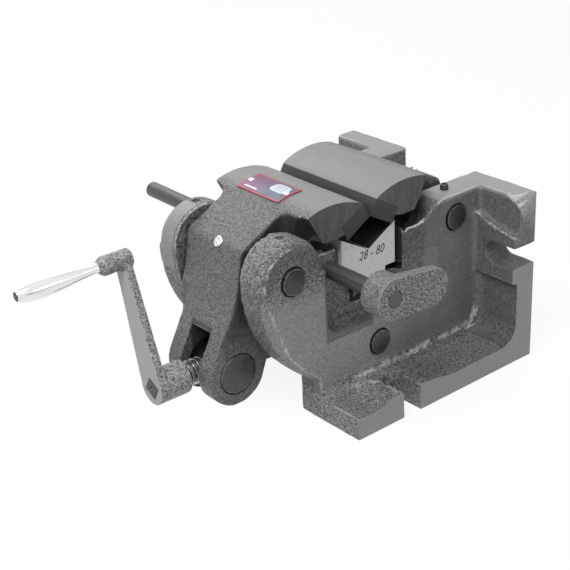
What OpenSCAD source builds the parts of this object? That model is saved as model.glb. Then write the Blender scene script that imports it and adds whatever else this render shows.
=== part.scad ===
// Self centering shaft vise. Two rocking jaws, a V block and one screw with two thread hands.
// Sizes in mm, Z up, front toward minus Y. The origin lies under the V on the bottom plane.

/* [Base casting] */
// Foot length from the V to the left end
foot_left = 56.2; // [54:0.1:57]
// Distance from the V to the machined face of the side flange
flange_out = 118; // [116:0.5:130]
// Width of the base across the jaws
base_w = 192; // [180:1:210]
// Rise of the side flange above the jaw pivots
flange_over = 18.2; // [16.2:0.1:21.2]
// Thickness of the foot
foot_t = 16; // [12:0.5:18]
// Thickness of the foot round its slots
foot_pad_t = 20; // [18.5:0.5:22]
// Thickness of the side flange
flange_t = 17; // [14:0.5:18]
// Thickness of the side flange round its slots
flange_pad_t = 22.3; // [20:0.1:23]
// Clear width between the two cheek walls
gap_w = 72; // [70.5:0.5:76]
// Thickness of one cheek wall with its lugs
wall_t = 22; // [20:0.5:24]
// Width of the bolt slots
slot_w = 16; // [12:0.5:18]
// Depth of a bolt slot from the edge to its round end
slot_depth = 27.5; // [24:0.5:29]
// Place of the foot slots along X
foot_slot_x = -5.4; // [-12:0.2:4]
// Height of the flange slots
flange_slot_z = 84.3; // [78:0.1:90]
// Outer radius of the left lugs
lug_r = 28; // [26:0.5:30]

/* [Pivots and jaws] */
// Distance of each jaw pivot from the V
pivot_x = 76; // [75.5:0.1:77]
// Height of the jaw pivots
pivot_z = 112.8; // [112.3:0.1:113.3]
// Radius of the pivot pins
pivot_pin_r = 10; // [8:0.5:10.5]
// Length of the jaw heads along the shaft
head_w = 100; // [90:1:104]
// Width of the jaws between the cheek walls
waist_w = 68; // [60:1:69]
// Width of the jaw fork
fork_w = 50; // [46:1:54]
// Width of the slot in the jaw fork
fork_slot_w = 21; // [19.5:0.5:23]
// Radius of the jaw boss round the trunnion
boss_r = 23.5; // [21:0.5:23.5]
// Width of the jaw plate face
plate_w = 23.5; // [22:0.1:24]
// Thickness of the jaw plates
plate_t = 12.5; // [11:0.1:13]

/* [V block] */
// Width of the V block
block_w = 50; // [46:0.5:52]
// Length of the V block along the shaft
block_l = 96; // [92:1:98]
// Height of the V bottom above the base
apex_z = 108.5; // [106:0.1:109.5]
// Slope of every clamping face against the level
grip_slope = 30; // [29:0.5:30]

/* [Screw and crank] */
// Height of the lead screw and the trunnions
screw_z = 40.5; // [40:0.1:42]
// Distance of each trunnion from the V with closed jaws
trunnion_x = 101.3; // [100:0.1:102]
// Outside radius of the lead screw thread
screw_r = 9; // [8:0.1:9]
// Right end of the lead screw
screw_right = 117; // [112:1:121]
// Radius of the trunnions
trunnion_r = 15; // [13.5:0.1:15.5]
// Radius of the crank hub
hub_r = 12; // [10.5:0.1:13]
// Length of the crank from the screw to the handle
crank_l = 90; // [70:1:120]
// Lean of the crank arm as it stands in the closed pose
lean = 16.2; // [0:0.1:30]
// Length of the revolving handle
handle_l = 59; // [50:1:75]
// Largest radius of the revolving handle
handle_r = 6.1; // [5.5:0.1:8]

/* [Work stop] */
// Radius of the stop rod
rod_r = 6; // [5:0.1:6.1]
// Place of the stop rod along X
rod_x = -34; // [-34.6:0.1:-33]
// Height of the stop rod
rod_z = 103.5; // [103:0.1:104]
// Length of the stop rod
rod_l = 277.6; // [250:1:300]
// Distance between the two round ends of the stop arm
stop_reach = 35.2; // [30:0.2:40]
// Radius of the stop arm hub
stop_hub_r = 14.8; // [13:0.1:16]

/* [Hidden] */
$fn = 72;
fit_gap = 0.02;
run_gap = 0.05;
over = 1;
yf = base_w / 2;
yi = gap_w / 2;
yw = yi + wall_t;
yj = head_w / 2;
ys = waist_w / 2;
yk = fork_w / 2;
fx = flange_out - flange_t;
flange_h = pivot_z + flange_over;
corner_r = 14;
wall_fillet = 9;
flange_fillet = 8;
lug_edge_r = 5;
sweep_r = 97;
sweep_edge_r = 3;
web_over = 4.2;
web_top = pivot_z + web_over;
hill_x = 66;
hill_r = 17;
dale_r = 13;
pocket_x = 47.5;
pocket_r = 13.5;
web_t = 9;
pocket_y = yi + web_t;
relief_step = 6;
relief_y = pocket_y + relief_step;
relief_x = 58;
scoop_x = 40;
scoop_drop = 9;
scoop_z = flange_h - scoop_drop;
scoop_r = 12.5;
scoop_gap = 2;
scoop_y = yj + scoop_gap;
ear_t = 12.6;
ear_low = 22;
ear_high = 9;
foot_pad_run = 30;
foot_pad_rise = 22;
flange_pad_low = 20;
flange_pad_high = 17;
flange_pad_back = 27;
tie_l = 30;
tie_t = 11.5;
bridge_w = 56;
bridge_t = 5.5;
pocket_under = 5;
block_shoulder = 17.5;
seat_z = apex_z - block_shoulder;
seat_gap = 0.3;
tongue_w = 31;
tongue_h = 15;
tongue_z = seat_z - tongue_h;
seat_room = 4.5;
seat_floor = tongue_z - seat_room;
bridge_z = seat_floor - bridge_t;
pocket_z = bridge_z - pocket_under;
pin_proud = 1.2;
pin_edge = 0.8;
centre_pin_r = 9.5;
centre_tip_r = 6;
centre_tip_y = 14;
centre_x_play = 0.5;
centre_up = 3;
centre_down = 5.2;
nut_w = 28;
nut_l = 60;
nut_h = 36;
nut_hole_y = 13.5;
collar_gap = 0.2;
collar_t = 5.8;
collar_r = 14;
collar_pin_r = 2;
crown_x = -34.8;
crown_drop = 19;
crown_z = apex_z - crown_drop;
crown_r = 62.5;
crown_tip = 27.9;
heel_x = -54.2;
heel_drop = 2.2;
heel_run = 10.7;
heel_low_x = heel_x + heel_run;
under_in = -29.5;
shoulder_h = 6;
plate_gap = 0.1;
plate_over = 1.94;
under_drop = 7.7;
back_out_x = 16.9;
back_up = 16.5;
back_x = -pivot_x - back_out_x;
back_z = pivot_z + back_up;
back_r = 8;
neck_out_x = 22;
neck_down = 9.8;
back_neck_x = -pivot_x - neck_out_x;
back_neck_z = pivot_z - neck_down;
bend_out_x = 27.4;
bend_down = 26.8;
back_bend_x = -pivot_x - bend_out_x;
back_bend_z = pivot_z - bend_down;
knuckle_r = 24;
knuckle_up = 10;
throat_in = 28;
throat_up = 10.8;
throat_x = throat_in - pivot_x;
throat_z = pivot_z + throat_up;
flare_r = 13;
prong_top = 37;
prong_r = 9;
slot_rise = 29.5;
slot_top = screw_z + slot_rise;
trunnion_edge = 1;
square_w = 10.5;
hub_gap = 28.7;
hub_l = 25.4;
hub_in = trunnion_x + hub_gap;
hub_out = hub_in + hub_l;
arm_t = 6.4;
arm_end_r = 5.9;
boss_back = 8.4;
boss_front = 12.6;
boss_cone = 4;
boss_in = hub_out - boss_back;
boss_out = hub_out + boss_front;
boss_end = boss_out + boss_cone;
crank_boss_r = 6.7;
boss_neck_r = 4;
stud_r = 2.5;
stud_in = 12;
stud_head_r = 3.1;
stud_head_t = 1.6;
centre_hole_r = 1.6;
stop_y = 110;
stop_hub_l = 18;
stop_tip_t = 11;
stop_tip_r = 13.6;
stop_drop = 3.4;
stop_slope_x = 16;
lug_screw_r = 3;
lug_screw_in = 10;
lug_screw_y = yi + lug_screw_in;
lug_screw_top = 3.6;
lug_screw_proud = 4;
lock_r = 2.5;
lock_y = yi + web_t / 2;
lock_sink = 0.6;
stop_screw_y = stop_y - stop_hub_l / 2;
stop_screw_sink = 1;
plate_screw_r = 3;
plate_head_r = 5;
plate_head_t = 6;
plate_head_sink = 0.9;
plate_screw_in = 8.5;
plate_screw_y = 30;
socket_r = 1.7;
socket_big_r = 2.9;
socket_deep = 2.6;
name_w = 45;
name_y = 5.8;
name_t = 0.8;
name_angle_from = 87;
name_angle_to = 107;
rivet_y = 19;
rivet_r = 1.2;
rivet_head_r = 2.3;
rivet_head_h = 1.1;
rivet_deep = 4;
oiler_r = 3;
oiler_head_r = 3.9;
oiler_deep = 6;
oiler_head_t = 0.9;
oiler_ball_r = 1.5;

handle_shares = [
    [0, 0.6], [0.035, 0.6], [0.045, 0.5], [0.07, 0.5], [0.08, 0.58], [0.2, 0.66],
    [0.35, 0.78], [0.5, 0.88], [0.62, 0.95], [0.72, 0.99], [0.78, 1], [0.84, 0.98],
    [0.89, 0.93], [0.93, 0.86], [0.965, 0.77], [0.985, 0.69], [1, 0.58]
];

c_base = [0.42, 0.43, 0.44];
c_jaw = [0.46, 0.47, 0.48];
c_steel = [0.3, 0.3, 0.32];
c_bright = [0.75, 0.75, 0.76];
c_plate = [0.34, 0.34, 0.36];
c_name = [0.35, 0.3, 0.5];

// Points on an arc in the plane of a profile
function arc(cx, cz, r, a0, a1, n) =
    [for (i = [0:n]) [cx + r * cos(a0 + (a1 - a0) * i / n), cz + r * sin(a0 + (a1 - a0) * i / n)]];

// Outline of one cheek wall seen from the front
hill_z = flange_h - hill_r;
dale_z = web_top + dale_r;
dale_x = hill_x - sqrt(pow(hill_r + dale_r, 2) - pow(dale_z - hill_z, 2));
dale_turn = atan((dale_z - hill_z) / (hill_x - dale_x));
sweep_cx = sweep_r - lug_r - pivot_x;
sweep_foot = acos((-foot_left - sweep_cx) / sweep_r);
wall_outline = concat(
    [[-foot_left, 0]],
    arc(sweep_cx, pivot_z, sweep_r, 360 - sweep_foot, 180, 16),
    arc(-pivot_x, pivot_z, lug_r, 178, asin((web_top - pivot_z) / lug_r), 28),
    arc(dale_x, dale_z, dale_r, 270, 360 - dale_turn, 8),
    arc(hill_x, hill_z, hill_r, 180 - dale_turn, 90, 8),
    [[flange_out, flange_h], [flange_out, 0]]
);

// Foot and flange as one bent profile
bend_outline = concat(
    [[-foot_left, 0], [flange_out, 0], [flange_out, flange_h], [flange_out - ear_t, flange_h],
     [flange_out - ear_t, flange_h - ear_high], [fx, flange_h - ear_low]],
    arc(fx - corner_r, foot_t + corner_r, corner_r, 0, -90, 10),
    [[-foot_left, foot_t]]
);

foot_pad_outline = [
    [foot_slot_x - foot_pad_run - foot_pad_rise / 2, 0],
    [foot_slot_x - foot_pad_run, foot_t],
    [foot_slot_x - slot_w, foot_pad_t],
    [foot_slot_x + slot_w, foot_pad_t],
    [foot_slot_x + foot_pad_run + foot_pad_rise / 2, foot_t],
    [foot_slot_x + foot_pad_run + foot_pad_rise / 2, 0]
];

flange_pad_outline = [
    [-yf, flange_slot_z - flange_pad_low],
    [-yf, flange_slot_z + flange_pad_high],
    [-yf + flange_pad_high, flange_slot_z + flange_pad_high + sweep_edge_r],
    [-yw, flange_slot_z + flange_pad_back],
    [-yw, flange_slot_z - flange_pad_low]
];

pocket_outline = concat(
    [[-pocket_x, flange_h]],
    arc(-pocket_x + pocket_r, pocket_z + pocket_r, pocket_r, 180, 270, 8),
    [[block_w / 2 + seat_gap, pocket_z], [block_w / 2 + seat_gap, flange_h]]
);

relief_outline = [
    [block_w / 2, -yw - over], [block_w / 2, -relief_y], [relief_x, -yw], [relief_x, -yw - over]
];

seat_outline = [
    [-block_w / 2 - seat_gap, flange_h], [-block_w / 2 - seat_gap, seat_z],
    [-tongue_w / 2 - seat_gap, seat_z], [-tongue_w / 2 - seat_gap, seat_floor],
    [tongue_w / 2 + seat_gap, seat_floor], [tongue_w / 2 + seat_gap, seat_z],
    [block_w / 2 + seat_gap, seat_z], [block_w / 2 + seat_gap, flange_h]
];

// Jaw plate corners, for the left jaw
gx = cos(grip_slope);
gz = sin(grip_slope);
plate_low_x = plate_gap + plate_w * gx;
plate_rise = apex_z + plate_low_x * tan(grip_slope) + plate_over + plate_w * gz;
under_z = plate_rise - under_drop;
plate_a = [-plate_gap, plate_rise];
plate_b = [-plate_low_x, plate_rise - plate_w * gz];
plate_c = [plate_b[0] - plate_t * gz, plate_b[1] + plate_t * gx];
plate_d = [plate_a[0] - plate_t * gz, plate_a[1] + plate_t * gx];
plate_outline = [plate_a, plate_b, plate_c, plate_d];

// Outline of the left jaw seen from the front
tip_z = crown_z + sqrt(pow(crown_r, 2) - pow(crown_tip, 2));
tip_turn = acos(crown_tip / crown_r);
heel_turn = acos((heel_x - crown_x) / crown_r);
heel_z = crown_z + crown_r * sin(heel_turn);
back_in = atan((heel_z - back_z) / (heel_x - back_x));
back_out = atan((back_neck_x - back_x) / (back_neck_z - back_z));
back_half = (90 - back_out - back_in) / 2;
back_cut = back_r * tan(back_half);
back_cx = back_x + back_cut * cos(back_in) + back_r * sin(back_in);
back_cz = back_z + back_cut * sin(back_in) - back_r * cos(back_in);
bend_turn = atan((back_neck_x - back_bend_x) / (back_neck_z - back_bend_z));
link_l = sqrt(pow(trunnion_x - pivot_x, 2) + pow(pivot_z - screw_z, 2));
link_turn = atan((trunnion_x - pivot_x) / (pivot_z - screw_z));
reach_x = back_bend_x + trunnion_x;
reach_z = back_bend_z - screw_z;
reach_l = sqrt(pow(reach_x, 2) + pow(reach_z, 2));
boss_turn = atan2(reach_z, reach_x) + acos(boss_r / reach_l);
jaw_outline = concat(
    [plate_d],
    arc(crown_x, crown_z, crown_r, tip_turn, heel_turn, 28),
    arc(back_cx, back_cz, back_r, 90 + back_in, 180 - back_out, 8),
    [[back_neck_x, back_neck_z], [back_bend_x, back_bend_z]],
    arc(-trunnion_x, screw_z, boss_r, boss_turn, 360 - link_turn, 40),
    arc(-pivot_x, pivot_z, knuckle_r, -link_turn, knuckle_up, 8),
    [[throat_x, throat_z], [heel_low_x, under_z], [under_in, under_z],
     [plate_c[0] + shoulder_h * gz, plate_c[1] - shoulder_h * gx], plate_c]
);
heel_lean = atan((heel_low_x - heel_x + heel_drop / 2) / (heel_z - heel_drop - under_z));

// Outline of the V block seen from the front
roof = tan(grip_slope);
block_outline = [
    [-block_w / 2, seat_z], [-block_w / 2, apex_z + block_w / 2 * roof], [0, apex_z],
    [block_w / 2, apex_z + block_w / 2 * roof], [block_w / 2, seat_z],
    [tongue_w / 2, seat_z], [tongue_w / 2, tongue_z], [0, tongue_z + tongue_w / 2 * roof],
    [-tongue_w / 2, tongue_z], [-tongue_w / 2, seat_z]
];

// Profile along Y between two planes
module prism_y(points, y0, y1) {
    translate([0, y1, 0])
        rotate([90, 0, 0])
            linear_extrude(height = y1 - y0)
                polygon(points);
}

// Profile of Y and Z values along X between two planes
module prism_x(points, x0, x1) {
    translate([x0, 0, 0])
        rotate([90, 0, 90])
            linear_extrude(height = x1 - x0)
                polygon(points);
}

// Round bar along Y
module bar_y(x, z, r, y0, y1) {
    translate([x, y1, z])
        rotate([90, 0, 0])
            cylinder(r = r, h = y1 - y0);
}

// Round bar along X
module bar_x(y, z, r, x0, x1) {
    translate([x0, y, z])
        rotate([0, 90, 0])
            cylinder(r = r, h = x1 - x0);
}

// Round pin with broken edges, standing on the origin
module pin(r, l, edge) {
    rotate_extrude()
        polygon([[0, 0], [r - edge, 0], [r, edge], [r, l - edge], [r - edge, l], [0, l]]);
}

// Set screw with a hexagon socket at its top
module set_screw(r, l) {
    difference() {
        pin(r, l, r / 6);
        translate([0, 0, l - socket_deep])
            linear_extrude(height = socket_deep + over)
                circle(r = socket_r, $fn = 6);
    }
}

// Ring that bevels the rim of a disc lying on the front plane of a wall
module rim_cut(x, z, r, edge) {
    translate([x, -yw, z])
        rotate([-90, 0, 0])
            rotate_extrude()
                polygon([[r - edge - over, -over], [r + over, -over], [r + over, edge + over]]);
}

module slot_cuts() {
    slot_end = -yf + slot_depth - slot_w / 2;
    translate([foot_slot_x, slot_end, -over])
        cylinder(d = slot_w, h = foot_pad_t + over + over);
    translate([foot_slot_x - slot_w / 2, -yf - over, -over])
        cube([slot_w, slot_end + yf + over, foot_pad_t + over + over]);
    bar_x(slot_end, flange_slot_z, slot_w / 2, flange_out - flange_pad_t - over, flange_out + over);
    translate([flange_out - flange_pad_t - over, -yf - over, flange_slot_z - slot_w / 2])
        cube([flange_pad_t + over + over, slot_end + yf + over, slot_w]);
}

// Front half of the base without the parts that join the two halves
module front_frame() {
    difference() {
        union() {
            prism_y(wall_outline, -yw, -yi);
            prism_y(bend_outline, -yf, -yi);
            prism_y(foot_pad_outline, -yf, -yw + over);
            prism_x(flange_pad_outline, flange_out - flange_pad_t, fx + over);
            prism_x(concat(
                [[-yw + over, foot_t - over], [-yw - wall_fillet, foot_t - over]],
                arc(-yw - wall_fillet, foot_t + wall_fillet, wall_fillet, 270, 360, 8),
                [[-yw + over, foot_t + wall_fillet]]), -foot_left, fx);
            translate([0, 0, foot_t])
                linear_extrude(height = flange_h - ear_low - foot_t)
                    polygon(concat(
                        [[fx + over, -yw + over], [fx - flange_fillet, -yw + over]],
                        arc(fx - flange_fillet, -yw - flange_fillet, flange_fillet, 90, 0, 8),
                        [[fx + over, -yw - flange_fillet]]));
        }
        prism_y(pocket_outline, -yw - over, -pocket_y);
        translate([0, 0, pocket_z])
            linear_extrude(height = flange_h)
                polygon(relief_outline);
        bar_y(scoop_x, scoop_z, scoop_r, -scoop_y, -yi + over);
        intersection() {
            rim_cut(-pivot_x, pivot_z, lug_r, lug_edge_r);
            translate([-pivot_x - lug_r - over, -yw - over, pivot_z])
                cube([lug_r * 3, wall_t, lug_r * 2]);
        }
        intersection() {
            rim_cut(sweep_cx, pivot_z, sweep_r, sweep_edge_r);
            translate([sweep_cx - sweep_r - over, -yw - over, foot_t + wall_fillet])
                cube([sweep_r + over - sweep_cx - foot_left, wall_t,
                    pivot_z - foot_t - wall_fillet]);
        }
        slot_cuts();
    }
}

module base_casting() {
    color(c_base)
        difference() {
            union() {
                front_frame();
                mirror([0, 1, 0])
                    front_frame();
                translate([-bridge_w / 2, -yi - over, bridge_z])
                    cube([bridge_w, gap_w + over + over, seat_z - bridge_z]);
                translate([flange_out - tie_l, -yi - over, 0])
                    cube([tie_l, gap_w + over + over, tie_t]);
            }
            prism_y(seat_outline, -yf, yf);
            for (s = [-1, 1]) {
                bar_y(s * pivot_x, pivot_z, pivot_pin_r + fit_gap, -yf, yf);
                for (t = [-1, 1])
                    translate([s * pivot_x, t * lug_screw_y, pivot_z])
                        cylinder(r = lug_screw_r + fit_gap, h = lug_r + over);
            }
            bar_y(0, screw_z, centre_pin_r + fit_gap, -yf, yf);
            bar_y(rod_x, rod_z, rod_r + run_gap, -yf, yf);
            translate([rod_x, -lock_y, rod_z])
                cylinder(r = lock_r + fit_gap, h = web_top);
        }
}

// Length of the cuts that clear a whole jaw
cut_l = trunnion_x * 2;

// Cut that leaves only the waist of the jaw beyond the heel, with a hollow corner
module heel_cut() {
    translate([heel_x, 0, heel_z - heel_drop])
        rotate([0, -heel_lean, 0])
            difference() {
                translate([-cut_l, -yj - over, -cut_l])
                    cube([cut_l, yj + over - ys, cut_l * 2]);
                difference() {
                    translate([-flare_r, -yj - over, -cut_l])
                        cube([flare_r + over, yj + over - ys + over, cut_l * 2]);
                    translate([-flare_r, -ys - flare_r, -cut_l - over])
                        cylinder(r = flare_r, h = cut_l * 2 + over + over);
                    translate([-flare_r - over, -yj - flare_r - over, -cut_l - over])
                        cube([flare_r + over + over, yj + over - ys, cut_l * 2 + over + over]);
                }
            }
}

// Cut that narrows the jaw to its fork, with a hollow corner
module fork_cut() {
    translate([-trunnion_x, 0, screw_z])
        rotate([0, link_turn, 0])
            difference() {
                translate([-knuckle_r * 2, -ys - over, -knuckle_r * 2])
                    cube([knuckle_r * 4, ys + over - yk, knuckle_r * 2 + prong_top]);
                translate([-knuckle_r * 2 - over, 0, prong_top - prong_r])
                    rotate([90, 0, 90])
                        linear_extrude(height = knuckle_r * 4 + over + over)
                            difference() {
                                translate([-yk - prong_r, 0])
                                    square([prong_r + over, prong_r + over]);
                                translate([-yk - prong_r, 0])
                                    circle(r = prong_r);
                            }
            }
}

// Screws of the left jaw plate, or the room that they need
module plate_screw_place() {
    for (t = [-1, 1])
        translate([(plate_a[0] + plate_b[0]) / 2, t * plate_screw_y, (plate_a[1] + plate_b[1]) / 2])
            rotate([0, -grip_slope, 0])
                children();
}

module oiler_place() {
    translate([back_cx, 0, back_cz])
        rotate([0, (back_out - back_in) / 2 - 45, 0])
            translate([0, 0, back_r])
                children();
}

module jaw_casting(rivets) {
    difference() {
        prism_y(jaw_outline, -yj, yj);
        heel_cut();
        mirror([0, 1, 0])
            heel_cut();
        fork_cut();
        mirror([0, 1, 0])
            fork_cut();
        translate([-trunnion_x - boss_r - over, -fork_slot_w / 2, screw_z - boss_r - over])
            cube([boss_r * 3, fork_slot_w, slot_top - screw_z + boss_r + over]);
        bar_y(-pivot_x, pivot_z, pivot_pin_r + run_gap, -yj, yj);
        bar_y(-trunnion_x, screw_z, trunnion_r + run_gap, -yj, yj);
        plate_screw_place()
            cylinder(r = plate_screw_r + fit_gap, h = plate_t + plate_screw_in + over);
        oiler_place()
            translate([0, 0, -oiler_deep])
                cylinder(r = oiler_r + fit_gap, h = oiler_deep * 2);
        for (t = rivets)
            name_rivet_place(t)
                translate([0, 0, -rivet_deep])
                    cylinder(r = rivet_r + fit_gap, h = rivet_deep * 2);
    }
}

module name_rivet_place(t) {
    translate([crown_x, name_y + t * rivet_y, crown_z])
        rotate([0, 90 - (name_angle_from + name_angle_to) / 2, 0])
            translate([0, 0, crown_r])
                children();
}

module left_jaw() {
    color(c_jaw)
        jaw_casting([-1, 1]);
}

// The right jaw carries no nameplate, so it has no rivet holes
module right_jaw() {
    color(c_jaw)
        mirror([1, 0, 0])
            jaw_casting([]);
}

module jaw_plate() {
    difference() {
        prism_y(plate_outline, -yj, yj);
        plate_screw_place() {
            translate([0, 0, -over])
                cylinder(r = plate_head_r + run_gap, h = plate_head_t + plate_head_sink + over);
        }
        plate_screw_place()
            cylinder(r = plate_screw_r + run_gap, h = plate_t + over);
    }
}

module left_jaw_plate() {
    color(c_plate)
        jaw_plate();
}

module right_jaw_plate() {
    color(c_plate)
        mirror([1, 0, 0])
            jaw_plate();
}

module plate_screws() {
    plate_screw_place()
        translate([0, 0, plate_head_sink])
            difference() {
                union() {
                    pin(plate_head_r, plate_head_t, plate_screw_r / 6);
                    translate([0, 0, plate_head_t - plate_screw_r / 6])
                        cylinder(r = plate_screw_r,
                            h = plate_t - plate_head_sink - plate_head_t + plate_screw_in);
                }
                translate([0, 0, -over])
                    linear_extrude(height = socket_deep + over)
                        circle(r = socket_big_r, $fn = 6);
            }
}

module left_plate_screws() {
    color(c_steel)
        plate_screws();
}

module right_plate_screws() {
    color(c_steel)
        mirror([1, 0, 0])
            plate_screws();
}

module v_block() {
    color(c_bright)
        prism_y(block_outline, -block_l / 2, block_l / 2);
}

module pivot_pin(x) {
    translate([x, yw + pin_proud, pivot_z])
        rotate([90, 0, 0])
            pin(pivot_pin_r, yw * 2 + pin_proud * 2, pin_edge);
}

module left_pivot_pin() {
    color(c_steel)
        pivot_pin(-pivot_x);
}

module right_pivot_pin() {
    color(c_steel)
        pivot_pin(pivot_x);
}

module centre_pins() {
    color(c_steel)
        for (t = [0, 1])
            mirror([0, t, 0]) {
                translate([0, -yi, screw_z])
                    rotate([90, 0, 0])
                        pin(centre_pin_r, wall_t + pin_proud, pin_edge);
                bar_y(0, screw_z, centre_tip_r, -yi, -centre_tip_y);
            }
}

module left_lug_screws() {
    color(c_steel)
        for (t = [-1, 1])
            translate([-pivot_x, t * lug_screw_y, pivot_z + pivot_pin_r + run_gap])
                set_screw(lug_screw_r, lug_r - pivot_pin_r - lug_screw_top);
}

module right_lug_screws() {
    color(c_steel)
        for (t = [-1, 1])
            translate([pivot_x, t * lug_screw_y, pivot_z + pivot_pin_r + run_gap])
                set_screw(lug_screw_r, flange_h - pivot_z - pivot_pin_r + lug_screw_proud);
}

module trunnion(x) {
    difference() {
        translate([x, yk, screw_z])
            rotate([90, 0, 0])
                pin(trunnion_r, fork_w, trunnion_edge);
        bar_x(0, screw_z, screw_r + run_gap, x - trunnion_r - over, x + trunnion_r + over);
    }
}

module left_trunnion() {
    color(c_steel)
        trunnion(-trunnion_x);
}

module right_trunnion() {
    color(c_steel)
        trunnion(trunnion_x);
}

module lead_screw() {
    color(c_steel)
        difference() {
            union() {
                translate([-hub_in + fit_gap, 0, screw_z])
                    rotate([0, 90, 0])
                        pin(screw_r, screw_right + hub_in, pin_edge);
                translate([-hub_out, 0, screw_z])
                    rotate([45 - lean, 0, 0])
                        translate([0, -square_w / 2, -square_w / 2])
                            cube([hub_out - hub_in + over, square_w, square_w]);
            }
            translate([-hub_out, 0, screw_z])
                rotate([0, 90, 0])
                    cylinder(r1 = centre_hole_r, r2 = 0, h = centre_hole_r);
            for (s = [-1, 1])
                translate([s * (nut_w / 2 + collar_gap + collar_t / 2), 0, screw_z - collar_r])
                    cylinder(r = collar_pin_r + fit_gap, h = collar_r * 2);
        }
}

module centre_block() {
    color(c_plate)
        difference() {
            translate([-nut_w / 2, -nut_l / 2, screw_z - nut_h / 2])
                cube([nut_w, nut_l, nut_h]);
            bar_x(0, screw_z, screw_r + run_gap, -nut_w, nut_w);
            for (t = [0, 1])
                mirror([0, t, 0]) {
                    for (z = [screw_z - centre_up, screw_z + centre_down])
                        bar_y(0, z, centre_tip_r + centre_x_play, -nut_l, -nut_hole_y);
                    translate([-centre_tip_r - centre_x_play, -nut_l, screw_z - centre_up])
                        cube([centre_tip_r * 2 + centre_x_play * 2, nut_l - nut_hole_y,
                            centre_up + centre_down]);
                }
        }
}

module thrust_collars() {
    color(c_steel)
        for (s = [0, 1])
            mirror([s, 0, 0])
                difference() {
                    translate([nut_w / 2 + collar_gap, 0, screw_z])
                        rotate([0, 90, 0])
                            pin(collar_r, collar_t, pin_edge);
                    bar_x(0, screw_z, screw_r + fit_gap, 0, nut_w);
                    translate([nut_w / 2 + collar_gap + collar_t / 2, 0, 0])
                        cylinder(r = collar_pin_r + fit_gap, h = screw_z * 2);
                }
}

module collar_pins() {
    color(c_steel)
        for (s = [-1, 1])
            translate([s * (nut_w / 2 + collar_gap + collar_t / 2), 0, screw_z - collar_r])
                pin(collar_pin_r, collar_r * 2, collar_pin_r / 6);
}

// Place of the crank parts, with the arm along plus Z from the screw
module crank_place() {
    translate([0, 0, screw_z])
        rotate([-lean, 0, 0])
            children();
}

arm_side = acos((hub_r - arm_end_r) / crank_l);
arm_outline = [
    [hub_r * sin(arm_side), hub_r * cos(arm_side)],
    [arm_end_r * sin(arm_side), crank_l + arm_end_r * cos(arm_side)],
    [-arm_end_r * sin(arm_side), crank_l + arm_end_r * cos(arm_side)],
    [-hub_r * sin(arm_side), hub_r * cos(arm_side)]
];

module crank_arm() {
    color(c_jaw)
        crank_place()
            difference() {
                union() {
                    bar_x(0, 0, hub_r, -hub_out, -hub_in);
                    prism_x(arm_outline, -hub_out, -hub_out + arm_t);
                    bar_x(0, crank_l, crank_boss_r, -boss_out, -boss_in);
                    translate([-boss_end, 0, crank_l])
                        rotate([0, 90, 0])
                            cylinder(r1 = boss_neck_r, r2 = crank_boss_r, h = boss_end - boss_out);
                }
                rotate([45, 0, 0])
                    translate([-hub_out - over, -square_w / 2 - run_gap, -square_w / 2 - run_gap])
                        cube([hub_out - hub_in + over + over, square_w + run_gap * 2,
                            square_w + run_gap * 2]);
                bar_x(0, crank_l, stud_r + fit_gap, -boss_end - over, -boss_end + stud_in);
            }
}

module crank_handle() {
    color(c_bright)
        crank_place()
            translate([-boss_end - run_gap, 0, crank_l])
                rotate([0, -90, 0])
                    difference() {
                        rotate_extrude()
                            polygon(concat([[0, 0]],
                                [for (p = handle_shares) [p[1] * handle_r, p[0] * handle_l]],
                                [[0, handle_l]]));
                        translate([0, 0, -over])
                            cylinder(r = stud_r + run_gap, h = handle_l + over + over);
                        translate([0, 0, handle_l - stud_head_t - run_gap])
                            cylinder(r = stud_head_r + run_gap, h = stud_head_t + over);
                    }
}

module handle_stud() {
    color(c_steel)
        crank_place()
            translate([-boss_end + stud_in, 0, crank_l])
                rotate([0, -90, 0])
                    union() {
                        cylinder(r = stud_r, h = stud_in + handle_l - stud_head_t / 2);
                        translate([0, 0, stud_in + handle_l + run_gap - stud_head_t])
                            cylinder(r = stud_head_r, h = stud_head_t);
                    }
}

module stop_rod() {
    color(c_steel)
        translate([rod_x, -stop_y + rod_l, rod_z])
            rotate([90, 0, 0])
                pin(rod_r, rod_l, pin_edge);
}

stop_gap = stop_hub_r - stop_tip_r;
stop_side = acos(stop_gap / stop_reach);
stop_tilt = asin(stop_drop / stop_reach);
module stop_arm() {
    color(c_base)
        translate([rod_x, 0, rod_z])
            difference() {
                rotate([0, stop_tilt, 0])
                    intersection() {
                        prism_y(concat(
                            arc(0, 0, stop_hub_r, stop_side, 360 - stop_side, 32),
                            arc(stop_reach, 0, stop_tip_r, -stop_side, stop_side, 28)),
                            -stop_y, -stop_y + stop_hub_l);
                        translate([0, 0, -stop_hub_r - over])
                            linear_extrude(height = stop_hub_r * 2 + over * 2)
                                polygon([
                                    [-stop_hub_r - over, -stop_y],
                                    [stop_reach + stop_tip_r + over, -stop_y],
                                    [stop_reach + stop_tip_r + over, -stop_y + stop_tip_t],
                                    [stop_slope_x, -stop_y + stop_hub_l],
                                    [-stop_hub_r - over, -stop_y + stop_hub_l]]);
                    }
                bar_y(0, 0, rod_r + run_gap, -stop_y - over, 0);
                translate([0, -stop_screw_y, -stop_hub_r - over])
                    cylinder(r = lug_screw_r + fit_gap, h = stop_hub_r + over);
            }
}

module stop_arm_screw() {
    color(c_steel)
        translate([rod_x, -stop_screw_y, rod_z - rod_r - run_gap])
            rotate([180, 0, 0])
                set_screw(lug_screw_r, stop_hub_r - rod_r - stop_screw_sink);
}

module rod_lock_screw() {
    color(c_steel)
        translate([rod_x, -lock_y, rod_z + rod_r + run_gap])
            set_screw(lock_r, web_top - rod_z - rod_r - lock_sink);
}

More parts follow.
